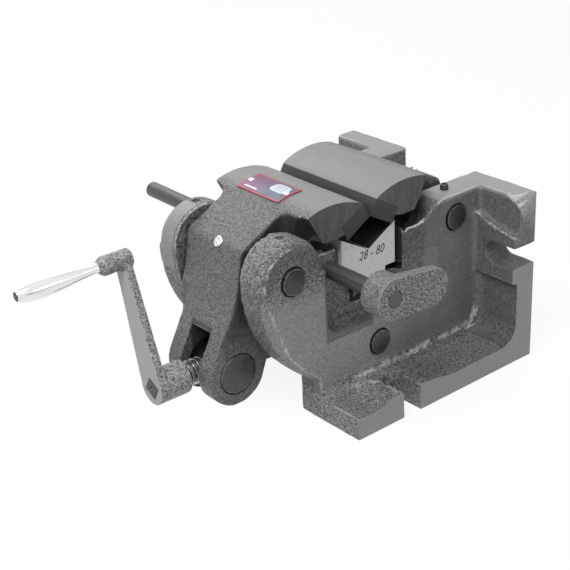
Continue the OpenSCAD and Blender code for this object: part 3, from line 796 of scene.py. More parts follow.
def merged_copy(node: Piece) -> Mesh:
    """A welded copy of a CAD node's mesh.

    Args:
        node: the CAD node, which stays as it is.

    Returns:
        The closed mesh.
    """
    bm = bmesh.new()
    bm.from_mesh(node.data)
    bmesh.ops.remove_doubles(bm, verts=bm.verts, dist=WELD)
    return bm


def join_into(bm: Mesh, parts: list[Mesh], material: int = 0) -> None:
    """Add other meshes to one mesh and free them.

    Args:
        bm: the mesh that grows.
        parts: the meshes to add.
        material: material place of their faces.
    """
    for part in parts:
        for face in part.faces:
            face.material_index = material
        spare = bpy.data.meshes.new("spare")
        part.to_mesh(spare)
        part.free()
        bm.from_mesh(spare)
        bpy.data.meshes.remove(spare)


def make_object(name: str, bm: Mesh, materials: list[Material]) -> Piece:
    """Turn a mesh into a linked object at the origin.

    Args:
        name: the object's name.
        bm: the mesh, which is freed.
        materials: its materials, in the order of their places.

    Returns:
        The object.
    """
    mesh = bpy.data.meshes.new(name)
    bm.to_mesh(mesh)
    bm.free()
    for material in materials:
        mesh.materials.append(material)
    made = bpy.data.objects.new(name, mesh)
    bpy.context.scene.collection.objects.link(made)
    return made


def settle(obj: Piece) -> None:
    """Replace an object's mesh by what its modifiers make of it.

    Args:
        obj: the object, which keeps no modifier.
    """
    graph = bpy.context.evaluated_depsgraph_get()
    done = bpy.data.meshes.new_from_object(obj.evaluated_get(graph))
    obj.modifiers.clear()
    old = obj.data
    obj.data = done
    bpy.data.meshes.remove(old)


def carve(obj: Piece, tools: list[Mesh], operation: str, material: int,
          solver: str = "MANIFOLD") -> None:
    """Cut one object by a set of closed meshes that don't touch each other.

    Args:
        obj: the object to cut.
        tools: the closed meshes.
        operation: DIFFERENCE, INTERSECT or UNION.
        material: material place of the cut faces.
        solver: Blender's solver for the cut.
    """
    before = len(obj.data.polygons)
    bm = bmesh.new()
    join_into(bm, tools, material)
    tool = make_object("tool", bm, list(obj.data.materials))
    cut = obj.modifiers.new("cut", "BOOLEAN")
    cut.solver = solver
    cut.operation = operation
    cut.object = tool
    settle(obj)
    bpy.data.objects.remove(tool)
    if len(obj.data.polygons) == before:
        LOG.warning("%s: a cut changed nothing", obj.name)


def drop_crumbs(obj: Piece, share: float = 0.05) -> None:
    """Delete the loose islands of a mesh that are too small to be the piece.

    Args:
        obj: the piece.
        share: share of the mesh's points below which an island goes.
    """
    bm = bmesh.new()
    bm.from_mesh(obj.data)
    left = set(bm.verts)
    crumbs = []
    while left:
        island = []
        front = [left.pop()]
        while front:
            vert = front.pop()
            island.append(vert)
            for edge in vert.link_edges:
                other = edge.other_vert(vert)
                if other in left:
                    left.remove(other)
                    front.append(other)
        if len(island) < share * len(bm.verts):
            crumbs += island
    if crumbs:
        LOG.info("%s: %d loose points dropped", obj.name, len(crumbs))
        bmesh.ops.delete(bm, geom=crumbs, context="VERTS")
        bm.to_mesh(obj.data)
    bm.free()


def trimmed(bm: Mesh, tools: list[Mesh]) -> Mesh:
    """A closed mesh less a set of closed meshes.

    Args:
        bm: the mesh to cut, which is freed.
        tools: the meshes to take away, which are freed.

    Returns:
        What is left.
    """
    spare = make_object("trimmed", bm, [])
    carve(spare, tools, "DIFFERENCE", 0)
    done = bmesh.new()
    done.from_mesh(spare.data)
    bpy.data.objects.remove(spare)
    return done


def shade(obj: Piece, angle: float = 32.0) -> None:
    """Smooth shading with sharp edges at corners and between two materials.

    Args:
        obj: the piece.
        angle: bend in degrees from which an edge is sharp.
    """
    bm = bmesh.new()
    bm.from_mesh(obj.data)
    limit = math.radians(angle)
    for face in bm.faces:
        face.smooth = True
    for edge in bm.edges:
        pair = edge.link_faces
        if len(pair) == 2:
            split = pair[0].material_index != pair[1].material_index
            edge.smooth = not split and edge.calc_face_angle(0.0) < limit
    bm.to_mesh(obj.data)
    bm.free()


def publish(obj: Piece, body: str, slot: str, *nodes: str) -> Piece:
    """Attach an object to its body and hide the CAD nodes that it stands for.

    Args:
        obj: the piece.
        body: the body that it rides on.
        slot: name of its material slot; not used.
        nodes: the CAD nodes that it replaces.

    Returns:
        The same object.
    """
    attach(obj, body)
    if nodes:
        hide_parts(*nodes)
    LOG.info("%s: %d faces, rides on %s", obj.name, len(obj.data.polygons), body)
    return obj


def dressed(name: str, node: Piece, body: str, slot: str, material: Material,
            edge: float = 0.35) -> Piece:
    """A machined piece: the CAD node's shape with its edges broken.

    Args:
        name: the new piece's name.
        node: the CAD node.
        body: the body that it rides on.
        slot: name of its material slot.
        material: its finish.
        edge: width of the broken edges in millimetres.

    Returns:
        The piece.
    """
    bm = merged_copy(node)
    bmesh.ops.dissolve_limit(bm, angle_limit=FLAT, verts=bm.verts, edges=bm.edges)
    made = make_object(name, bm, [material])
    soften = made.modifiers.new("broken_edges", "BEVEL")
    soften.width = edge * MM
    soften.segments = 2
    soften.profile = 0.5
    soften.limit_method = "ANGLE"
    soften.angle_limit = CORNER
    soften.use_clamp_overlap = True
    soften.harden_normals = False
    settle(made)
    shade(made, 24.0)
    return publish(made, body, slot, node.name)


@dataclass(frozen=True)
class Ridge:
    """A raised bead of a casting, along a line near its surface.

    Args:
        points: the line's points, in millimetres.
        width: how far from the line the bead falls off, in millimetres.
        height: how far it stands out, in millimetres.
        bright: how light its top is painted, as worn paint and a painted highlight.
    """

    points: list[Point]
    width: float = 3.2
    height: float = 1.5
    bright: float = 1.0


@dataclass
class CastSkin:
    """Makes a sand cast surface from a CAD casting: soft edges, lumps, worn marks with painted highlights
    on ridges, and hollow marks of grime and painted shade.

    Args:
        voxel: size of the surface's cells in millimetres.
        passes: how often the surface is smoothed.
        lump: height of the casting's unevenness in millimetres.
        lump_size: distance between the lumps in millimetres.
        stock: how far a face that will be machined stands out before the cut, in millimetres.
        worn_from: convex bend, in 1/mm, from which an edge is worn.
        worn_full: convex bend at which it is worn through.
        hollow_from: concave bend, in 1/mm, from which a hollow darkens with grime and painted shade.
        hollow_full: concave bend at which it is darkest.
        dent_share: height of the small dents as a share of the lumps'.
        dent_size_share: distance between the dents as a share of the lumps'.
        sink_share: how far the surface sinks as a whole, as a share of the lumps' height.
        ridge_waves: lengths of a ridge's broad and fine unevenness, in millimetres.
        rim_worn: how worn the rim of a cut is at least.
        oil_hollow: how dark a rim with painted shade in its gap is at least.
    """

    voxel: float
    passes: int = 3
    lump: float = 0.25
    lump_size: float = 9.0
    stock: float = 4.0
    worn_from: float = 0.10
    worn_full: float = 0.32
    hollow_from: float = 0.05
    hollow_full: float = 0.30
    dent_share: float = 0.45
    dent_size_share: float = 0.37
    sink_share: float = 0.3
    ridge_waves: tuple[float, float] = (12.0, 2.6)
    rim_worn: float = 0.55
    oil_hollow: float = 0.9
    quick_cells: float = 1.8
    marks: dict[str, np.ndarray] = field(default_factory=dict)

    def skin(self, name: str, bm: Mesh, planes: list[tuple[Axis, float]],
             plugs: list[Mesh], materials: list[Material]) -> Piece:
        """Remesh and smooth the casting.

        Args:
            name: name of the piece.
            bm: the casting's welded mesh, which is freed.
            planes: faces that are machined later, each an axis and a signed place in millimetres.
            plugs: closed meshes that fill bores which are cut again later.
            materials: the cast finish and the machined finish.

        Returns:
            The object, not yet cut.
        """
        for axis, place in planes:
            push = axis.value * math.copysign(self.stock * MM, place or -1.0)
            for vert in bm.verts:
                if abs(vert.co.dot(axis.value) - place * MM) < ON_PLANE:
                    vert.co += push
        join_into(bm, plugs)
        made = make_object(name, bm, materials)
        remesh = made.modifiers.new("skin", "REMESH")
        remesh.mode = "VOXEL"
        remesh.voxel_size = self.voxel * MM * 1.0
        settle(made)
        drop_crumbs(made)
        bm = bmesh.new()
        bm.from_mesh(made.data)
        for _ in range(self.passes):
            bmesh.ops.smooth_vert(bm, verts=bm.verts, factor=0.5, use_axis_x=True, use_axis_y=True,
                                  use_axis_z=True)
        bm.normal_update()
        size = self.lump_size * MM
        elsewhere = Vector((7, 3, 1))
        for vert in bm.verts:
            lumps = noise.noise(vert.co / size)
            dents = noise.noise(vert.co / (size * self.dent_size_share) + elsewhere)
            swing = lumps + self.dent_share * dents - self.sink_share
            vert.co += vert.normal * swing * self.lump * MM
        bm.to_mesh(made.data)
        bm.free()
        return made

    def raise_ridges(self, obj: Piece, ridges: list[Ridge]) -> np.ndarray:
        """Raise uneven beads on the casting.

        Args:
            obj: the casting.
            ridges: the beads.

        Returns:
            How light the beads leave each vertex, as worn paint and a painted highlight.
        """
        place = read_places(obj)
        worn = np.zeros(len(place))
        broad_wave, fine_wave = self.ridge_waves
        elsewhere = Vector((4, 9, 2))
        for ridge in ridges:
            share = np.zeros(len(place))
            for a, b in zip(ridge.points, ridge.points[1:]):
                start, end = np.array(a) * MM, np.array(b) * MM
                along = end - start
                t = np.clip((place - start) @ along / (along @ along), 0, 1)
                away = np.linalg.norm(place - start - t[:, None] * along, axis=1)
                share = np.maximum(share, np.exp(-(away / (ridge.width * MM)) ** 2))
            for index in np.nonzero(share > 0.02)[0]:
                vert = obj.data.vertices[index]
                spot = vert.co / MM
                broad = noise.noise(spot / broad_wave)
                fine = noise.noise(spot / fine_wave + elsewhere)
                share[index] *= min(max(0.62 + 0.55 * broad + 0.5 * fine, 0.1), 1.0)
                vert.co += vert.normal * (share[index] * (0.6 + 0.9 * fine) * ridge.height * MM)
            # A bead's top is painted light: worn paint and a painted highlight.
            worn = np.maximum(worn, share * ridge.bright)
        return np.clip(worn, 0, 1)

    def mark(self, obj: Piece, smooth: np.ndarray | None = None,
             ridges: np.ndarray | None = None, shade: np.ndarray | None = None,
             whole: np.ndarray | None = None) -> None:
        """Work out the worn, hollow and smooth marks of the uncut surface.

        Args:
            obj: the casting.
            smooth: share of dressed skin at each vertex.
            ridges: how light a raised ridge leaves each vertex, as worn paint and a painted highlight.
            shade: share of painted shade in a sheltered place, at each vertex.
            whole: share of paint that stays whole on an edge, at each vertex.
        """
        place = read_places(obj)
        bend = surface_bend(obj)
        worn = ramp(bend, self.worn_from, self.worn_full)
        if whole is not None:
            worn = worn * (1 - whole)
        # Ridges add worn paint and a painted highlight.
        if ridges is not None:
            worn = np.maximum(worn, ridges)
        # Grime and painted shade: concave creases darken, and the painted shade of sheltered places joins
        # them.
        hollow = ramp(-bend, self.hollow_from, self.hollow_full) * 0.7
        if shade is not None:
            hollow = np.maximum(hollow, shade)
        self.marks = {
            "place": place, Skin.WORN.value: worn, Skin.HOLLOW.value: hollow,
            Skin.SMOOTH.value: np.zeros(len(place)) if smooth is None else smooth,
        }

    def hand_over(self, obj: Piece, oily: list[tuple[Axis, Point, float]]) -> None:
        """Carry the marks to the cut surface, mark the rims of the cuts as worn, and paint dark shade in
        the gaps round pins and seats.

        Args:
            obj: the cut casting.
            oily: round places whose rims are painted dark as the shade of a gap, each an axis, a point on
                it and a radius.
        """
        place = self.marks["place"]
        tree = kdtree.KDTree(len(place))
        for index, spot in enumerate(place):
            tree.insert(spot, index)
        tree.balance()
        mesh = obj.data
        nearest = np.array([tree.find(vert.co)[1] for vert in mesh.vertices])
        cut = np.zeros(len(mesh.vertices), bool)
        cast = np.zeros(len(mesh.vertices), bool)
        for polygon in mesh.polygons:
            target = cut if polygon.material_index else cast
            for index in polygon.vertices:
                target[index] = True
        rim = cut & cast
        spots = read_places(obj) / MM
        # Points on the rims round pins and seats, which are painted dark as the shade in their gaps.
        dark = np.zeros(len(spots), bool)
        for axis, centre, radius in oily:
            across = np.array([1.0 - abs(c) for c in axis.value])
            dark |= np.linalg.norm((spots - np.array(centre)) * across, axis=1) < radius
        for key in Skin:
            values = self.marks[key.value][nearest].astype(np.float32)
            if key is Skin.WORN:
                values[rim] = np.maximum(values[rim], self.rim_worn)
                values[dark] = 0.0
            if key is Skin.HOLLOW:
                values[rim] = 0.0
                values[dark] = np.maximum(values[dark], self.oil_hollow)
            layer = mesh.attributes.new(key.value, "FLOAT", "POINT")
            layer.data.foreach_set("value", values)


def read_places(obj: Piece) -> np.ndarray:
    """Read where an object's points are.

    Args:
        obj: the object.

    Returns:
        Every vertex's place in metres, as an array with three columns.
    """
    place = np.zeros(len(obj.data.vertices) * 3)
    obj.data.vertices.foreach_get("co", place)
    return place.reshape(-1, 3)


def read_normals(obj: Piece) -> np.ndarray:
    """Read which way an object's points face.

    Args:
        obj: the object.

    Returns:
        Every vertex's normal, as an array with three columns.
    """
    normal = np.zeros(len(obj.data.vertices) * 3)
    obj.data.vertex_normals.foreach_get("vector", normal)
    return normal.reshape(-1, 3)


def surface_bend(obj: Piece, passes: int = 2) -> np.ndarray:
    """Mean bend of a surface.

    Args:
        obj: the object.
        passes: how often the bend is evened out with its neighbours'.

    Returns:
        The bend at each vertex, in 1/mm, positive on a convex edge.
    """
    mesh = obj.data
    place = read_places(obj)
    normal = read_normals(obj)
    edges = np.zeros(len(mesh.edges) * 2, np.int64)
    mesh.edges.foreach_get("vertices", edges)
    i, j = edges.reshape(-1, 2).T
    step = place[j] - place[i]
    bend = ((normal[j] - normal[i]) * step).sum(1) / np.maximum((step ** 2).sum(1), 1e-12) * MM
    count = np.bincount(i, minlength=len(place)) + np.bincount(j, minlength=len(place))
    mean = (np.bincount(i, bend, len(place)) + np.bincount(j, bend, len(place))) / np.maximum(count, 1)
    for _ in range(passes):
        around = np.bincount(i, mean[j], len(place)) + np.bincount(j, mean[i], len(place))
        mean = 0.5 * mean + 0.5 * around / np.maximum(count, 1)
    return mean


# Sub-assemblies


@dataclass
class BaseCasting:
    """The bent base casting with its two cheek walls, its pins and set screws.

    The fields are the casting's sizes in millimetres, as the part has them.
    """

    width: float = 192.0
    face_x: float = 118.0
    wall_in: float = 36.0
    wall_out: float = 58.0
    pocket_y: float = 45.0
    pivot: tuple[float, float] = (76.0, 112.8)
    pivot_r: float = 10.5
    screw_z: float = 40.5
    centre_r: float = 9.95
    rod: tuple[float, float] = (-34.0, 103.5)
    rod_r: float = 6.05
    lug_r: float = 28.0
    lug_screw: tuple[float, float] = (3.02, 46.0)
    top: float = 131.0
    web_top: float = 117.0
    seat: tuple[float, float, float] = (25.3, 91.0, 71.5)
    tongue: float = 15.8
    fillet: float = 9.0
    foot: float = 16.0
    ear: tuple[float, float] = (17.0, 22.5)
    ear_break: tuple[float, float] = (12.0, 7.6)
    groove: tuple[float, float] = (3.2, 5.0)
    flange_x: float = 88.0
    slot_z: float = 84.3
    slot_half: float = 8.0
    dip: tuple[float, float] = (-46.5, 60.5)
    pin_r: float = 10.0
    centre_pin_r: float = 9.5
    fill: float = 1.0
    lock_r: tuple[float, float] = (2.55, 3.1)
    above: float = 150.0
    rough_from: float = 92.0

    @property
    def lock_place(self) -> tuple[float, float]:
        """X and Y of the set screw that locks the rod."""
        return self.rod[0], -(self.wall_in + self.pocket_y) / 2

    def build(self, nodes: dict[str, Piece], finish: Finishes) -> None:
        """Make the casting and dress its pins and screws.

        Args:
            nodes: the CAD nodes.
            finish: the materials.
        """
        self._casting(nodes["base_casting"], finish)
        x, z = self.pivot
        for side in Side:
            word = side.name.lower()
            pin, screws = nodes[word + "_pivot_pin"], nodes[word + "_lug_screws"]
            steel = finish.turned(word + "_pin_steel", Axis.Y, (side.value * x, 0, z), self.pin_r, 0.08)
            dressed(word + "_pivot_pin_steel", pin, "base", "dark_steel", steel, 0.25)
            dressed(word + "_lug_set_screws", screws, "base", "dark_steel", finish.screws, 0.15)
        centre = finish.turned("centre_pin_steel", Axis.Y, (0, 0, self.screw_z), self.centre_pin_r, 0.09)
        dressed("centre_pins_steel", nodes["centre_pins"], "base", "dark_steel", centre, 0.25)
        dressed("rod_lock_set_screw", nodes["rod_lock_screw"], "base", "dark_steel", finish.screws, 0.12)

    def _across_walls(self, x: float, z: float, radius: float, inner: float, outer: float) -> list:
        """Two bars along Y, one in each cheek wall.

        Args:
            x: the bars' X.
            z: their Z.
            radius: their radius.
            inner: distance of their inner ends from the middle.
            outer: distance of their outer ends.

        Returns:
            The closed meshes.
        """
        spans = ((-outer, -inner), (inner, outer))
        return [bar_mesh(Axis.Y, (x, low, z), high, radius) for low, high in spans]

    def _plugs(self) -> list[Mesh]:
        """Fillings of the bores and screw holes, and of the ears.

        Returns:
            The closed meshes, flush with the walls.
        """
        x, z = self.pivot
        walls = (self.wall_in, self.wall_out)
        parts = []
        for side in Side:
            parts += self._across_walls(side.value * x, z, self.pivot_r + self.fill, *walls)
            crown = z + self.lug_r if side is Side.LEFT else self.top
            for s in (-1, 1):
                spot = (side.value * x, s * self.lug_screw[1], z + 2)
                parts.append(bar_mesh(Axis.Z, spot, crown - 0.15, self.lug_screw[0] + 0.6, 24))
        parts += self._across_walls(0, self.screw_z, self.centre_r + self.fill, *walls)
        parts += self._across_walls(*self.rod, self.rod_r + self.fill, self.wall_in, self.pocket_y)
        lock = (*self.lock_place, self.rod[1])
        parts.append(bar_mesh(Axis.Z, lock, self.web_top - 0.1, self.lock_r[1], 24))
        half, low = self.width / 2 + 4, self.top - self.ear[1]
        for s in (-1, 1):
            y0, y1 = sorted((s * half, s * (self.wall_out - 1)))
            parts.append(box_mesh((self.face_x - self.ear[0], y0, low), (self.face_x - 6, y1, self.top)))
        return parts

    def _ear_corner(self, size: float = 18.0, thick: float = 10.0) -> Mesh:
        """Block that breaks the inner corner off the front end of the flange's top.

        Args:
            size: half the block's width.
            thick: half its thickness.

        Returns:
            The closed mesh.
        """
        deep, half = self.ear[0], self.width / 2
        corner = Vector((self.face_x - deep, -half, self.top))
        outward = Vector((-1 / deep, -1 / self.ear_break[0], 1 / self.ear_break[1])).normalized()
        foot = corner + Vector((deep, 0, 0))
        depth = (foot - corner).dot(outward)
        centre = (corner + outward * (depth + thick)) * MM
        turn = outward.to_track_quat("Z", "Y").to_matrix().to_4x4()
        return box_mesh((-size, -size, -thick), (size, size, thick), Matrix.Translation(centre) @ turn)

    def _bores(self) -> list[Mesh]:
        """Bars that cut the pin bores, the rod bore and the V block's seat.

        Returns:
            The closed meshes.
        """
        x, z = self.pivot
        reach = self.wall_out + 4
        bars = [bar_mesh(Axis.Y, (s * x, -reach, z), reach, self.pivot_r) for s in (-1, 1)]
        bars.append(bar_mesh(Axis.Y, (0, -reach, self.screw_z), reach, self.centre_r))
        bars.append(bar_mesh(Axis.Y, (self.rod[0], -reach, self.rod[1]), reach, self.rod_r, 64))
        half, seat_z, floor = self.seat
        step = self.tongue
        outline = [(-half, self.above), (-half, seat_z), (-step, seat_z), (-step, floor),
                   (step, floor), (step, seat_z), (half, seat_z), (half, self.above)]
        bars.append(prism_mesh(outline, -reach, reach))
        return bars

    def _screw_holes(self) -> list[Mesh]:
        """Bars that cut the set screws' holes from above.

        Returns:
            The closed meshes.
        """
        x, z = self.pivot
        radius, y = self.lug_screw
        spots = [(s * x, t * y, z + 11, radius) for s in (-1, 1) for t in (-1, 1)]
        spots.append((*self.lock_place, self.rod[1] + 7, self.lock_r[0]))
        return [bar_mesh(Axis.Z, spot[:3], self.above, spot[3], 40) for spot in spots]

    def _ridges(self) -> list[Ridge]:
        """Raised flow lines of the casting, on the front and the rear.

        Returns:
            The ridges, with their points in the part's frame.
        """
        y, z = self.wall_out + 1.5, self.foot + self.fillet * 0.62
        x = self.face_x - 24.6
        made = []
        for s in (-1, 1):
            foot = [(-50, s * (y + 4), z - 1), (-20, s * y, z), (20, s * (y + 1), z), (x, s * y, z + 1)]
            ear = [(97, s * 60, 112), (95.5, s * 70, 108.6), (95.5, s * 84, 105.6), (97, s * 96, 104.6)]
            made += [
                Ridge(foot),
                Ridge([(x - 6, s * y, z), (x, s * y, z + 1), (x + 2, s * y, z + 11)], 4.6, 2.0),
                Ridge([(x, s * y, z + 10), (x + 1, s * y, 60), (x, s * y, 112)], 2.0, 1.0, 0.42),
                Ridge([(x, s * y, 108), (x, s * y, 122)], 2.6, 1.2, 0.8),
                Ridge(ear, 3.9, 1.6),
                Ridge([(-30, s * 62, 19), (-14, s * 74, 21), (-14, s * 92, 21)], 3.6, 1.4),
                Ridge([(x - 1, s * 62, 20), (x - 1, s * 94, 20)], 2.4, 0.8, 0.3),
            ]
        made.append(Ridge([(117, -95, 130), (101, -95.5, 123.6), (101, -86, 129.5)], 2.2, 0.8))
        hill = [(36, -58, 116.6), (46, -58, 118), (50, -58, 122), (54, -58, 127), (58, -57, 130)]
        made.append(Ridge(hill, 2.6, 1.4))
        back = self._round_lug(self.lug_r, range(80, -61, -20), self.wall_in + 1)
        made.append(Ridge(back, 2.4, 0.8, 0.8))
        edge = self._round_lug(self.lug_r - 3.6, (78, 108, 140, 165, 190, 203), -self.wall_out)
        edge += [(x, -self.wall_out, z) for x, z in ((-83.2, 59.5), (-70.6, 45.0), (-56.2, 32.0))]
        made.append(Ridge(edge, 1.6, 0.5, 1.05))
        return made

    def _round_lug(self, radius: float, degrees: object, y: float) -> list[Point]:
        """Points round a left lug.

        Args:
            radius: distance from the pivot.
            degrees: where the points are, turned up from +X.
            y: their Y.

        Returns:
            The points in millimetres.
        """
        px, pz = self.pivot
        turns = [math.radians(a) for a in degrees]
        return [(radius * math.cos(a) - px, y, radius * math.sin(a) + pz) for a in turns]

    def _casting(self, node: Piece, finish: Finishes) -> None:
        """Make the casting's own skin, machined faces and marks.

        Args:
            node: the CAD casting.
            finish: the materials.
        """
        half = self.width / 2
        skin = CastSkin(voxel=1.45, passes=2, lump=0.34, lump_size=13.0)
        planes = [(Axis.Y, -half), (Axis.Y, half), (Axis.X, self.face_x), (Axis.Z, 0.0)]
        made = skin.skin("base_casting_skin", merged_copy(node), planes, self._plugs(),
                         [finish.base, finish.base_cut, finish.vee])
        carve(made, [self._ear_corner()], "DIFFERENCE", 0)
        # The ridges' tops are painted light, as worn paint and a painted highlight.
        ridges = skin.raise_ridges(made, self._ridges())
        skin.mark(made, self._smooth_share(made), ridges, self._shade_share(made), self._whole_share(made))
        carve(made, [box_mesh((-self.above, -half, 0), (self.face_x, half, CLEAR))], "INTERSECT", 1)
        for face in made.data.polygons:
            far = abs(face.normal.y) > 0.99 and abs(face.center.y) > (half - 0.1) * MM
            if far and face.center.z > self.rough_from * MM:
                face.material_index = 0
        carve(made, self._bores(), "DIFFERENCE", 1)
        carve(made, self._screw_holes(), "DIFFERENCE", 0)
        # The groove and notch beside the V block take the near-black finish as painted shade.
        for tool in self._side_cuts():
            carve(made, [tool], "DIFFERENCE", 2)
        x, z = self.pivot
        # Painted shade: dark rims round the pin bores, the centre bore and the V block's seat stand for the
        # shade in their gaps.
        oily = [(Axis.Y, (s * x, 0, z), self.pivot_r + 0.3) for s in (-1, 1)]
        oily.append((Axis.Y, (0, 0, self.screw_z), self.centre_r + 0.3))
        oily.append((Axis.Y, (0, 0, 0.5 * (self.seat[1] + self.web_top)), self.seat[0] + 4.4))
        skin.hand_over(made, oily)
        shade(made)
        publish(made, "base", "base_paint", "base_casting")

    def _side_cuts(self) -> list[Mesh]:
        """The groove and the notch to the right of the V block.

        Returns:
            The closed meshes, to be cut one after the other.
        """
        half, seat_z, _ = self.seat
        wide, deep = self.groove
        front, back = -self.wall_out - 1, deep - self.pocket_y
        groove = box_mesh((half - 0.5, front, seat_z + 0.5), (half + wide, back, self.top - 1))
        notch = box_mesh((self.tongue + 1.5, front, seat_z - 5.5), (half + wide, back, seat_z + 0.4))
        return [groove, notch]

    def _smooth_share(self, obj: Piece) -> np.ndarray:
        """Smooth skin: the flange's top and inside, and the walls away from the lugs.

        Args:
            obj: the uncut casting.

        Returns:
            A share for each vertex.
        """
        x, y, z = (read_places(obj) / MM).T
        px, pz = self.pivot
        out = np.abs(y)
        top = ramp(z, self.top - 3.0, self.top - 1.0) * (x > 60)
        inside = (out > self.wall_out + 2) & (x > self.flange_x) & (z > self.foot + 10)
        wall = (np.abs(out - self.wall_out) < 2.5) & (z > self.foot + 8)
        lug = np.hypot(x + px, z - pz)
        plain = ramp(z, pz - 6, pz - 20) * (x < 0)
        wall_share = wall * np.maximum(ramp(lug, self.lug_r, self.lug_r + 30), plain)
        rear_rim = (y > self.wall_in + 3) & (np.abs(lug - self.lug_r) < 2.5) & (x < -px - 4)
        return np.maximum.reduce([top, inside * 0.35, wall_share * 0.55, rear_rim * 0.8])

    def _shade_share(self, obj: Piece) -> np.ndarray:
        """Painted shade: darker where the flange, the foot and the walls meet, in the flange's slot, at the
        top of the left lug's face, inside the walls, on the hill and along the dip's brink.

        Args:
            obj: the uncut casting.

        Returns:
            A share for each vertex.
        """
        x, y, z = (read_places(obj) / MM).T
        px, pz = self.pivot
        out = np.abs(y)
        below_top = z < self.top - 4
        wall = ramp(x, -12, 33) * (out < self.wall_out + 6) * below_top * 0.62
        flange = (x > self.flange_x) * (out > self.wall_out) * below_top * (0.6 + 0.12 * ramp(z, 100, 20))
        slot = (x > self.flange_x + 4) * (out > 66) * (np.abs(z - self.slot_z) < self.slot_half + 0.9) * 0.8
        facing = ramp(np.hypot(x + px, z - pz), self.pivot_r + 0.5, self.pivot_r + 4.5)
        lug = (y < -self.wall_out + 2.0) * (x < -44) * facing * ramp(z, pz - 8, pz + 6) * 0.58
        foot = (z < self.foot + 10) * (out > self.wall_out) * ramp(x, 40, 90) * 0.25
        web = (out < self.wall_out - 1) & (x > -60) & (x < 66)
        inner = (web | (out < self.wall_in + 1.5)) * (z > self.foot + 4) * 0.3
        hill = (x > self.seat[0]) * ramp(x, 65, 59) * (out > self.wall_in) * (z > 96) * 0.8
        return np.maximum.reduce([wall, flange, slot, lug, foot, inner, hill, self._brink(x, y, z) * 0.75])

    def _brink(self, x: np.ndarray, y: np.ndarray, z: np.ndarray) -> np.ndarray:
        """Edge of the front wall's dip between the left lug and the V block's seat.

        Args:
            x: X of the points, in millimetres.
            y: their Y.
            z: their Z.

        Returns:
            1 for each point on the edge, and 0 elsewhere.
        """
        dip_x, dip_z = self.dip
        front = (y < -self.wall_out + 3.0) & (x > dip_x - 13.5) & (x < -self.rod_r)
        upright = (np.abs(x - dip_x) < 3.2) & (z > dip_z - 0.5) & (z < self.pivot[1] + 0.2)
        level = (np.abs(z - dip_z) < 3.4) & (x > dip_x - 2.5)
        return (front & (upright | level)) * 1.0

    def _whole_share(self, obj: Piece) -> np.ndarray:
        """Edges that keep their paint: the dip's brink and the flange's slots.

        Args:
            obj: the uncut casting.

        Returns:
            A share for each vertex.
        """
        x, y, z = (read_places(obj) / MM).T
        dip_x, dip_z = self.dip
        near_slot = np.abs(z - self.slot_z) < self.slot_half + 5
        slot = (x > self.flange_x) * (np.abs(y) > self.wall_out + 4) * near_slot * 0.75
        front = (y < -self.wall_out + 3.0) & (x > dip_x - 3.5) & (x < 40)
        level = front & (np.abs(z - dip_z - 1.5) < 6.0)
        return np.maximum.reduce([slot, level * 1.0, self._brink(x, y, z)])


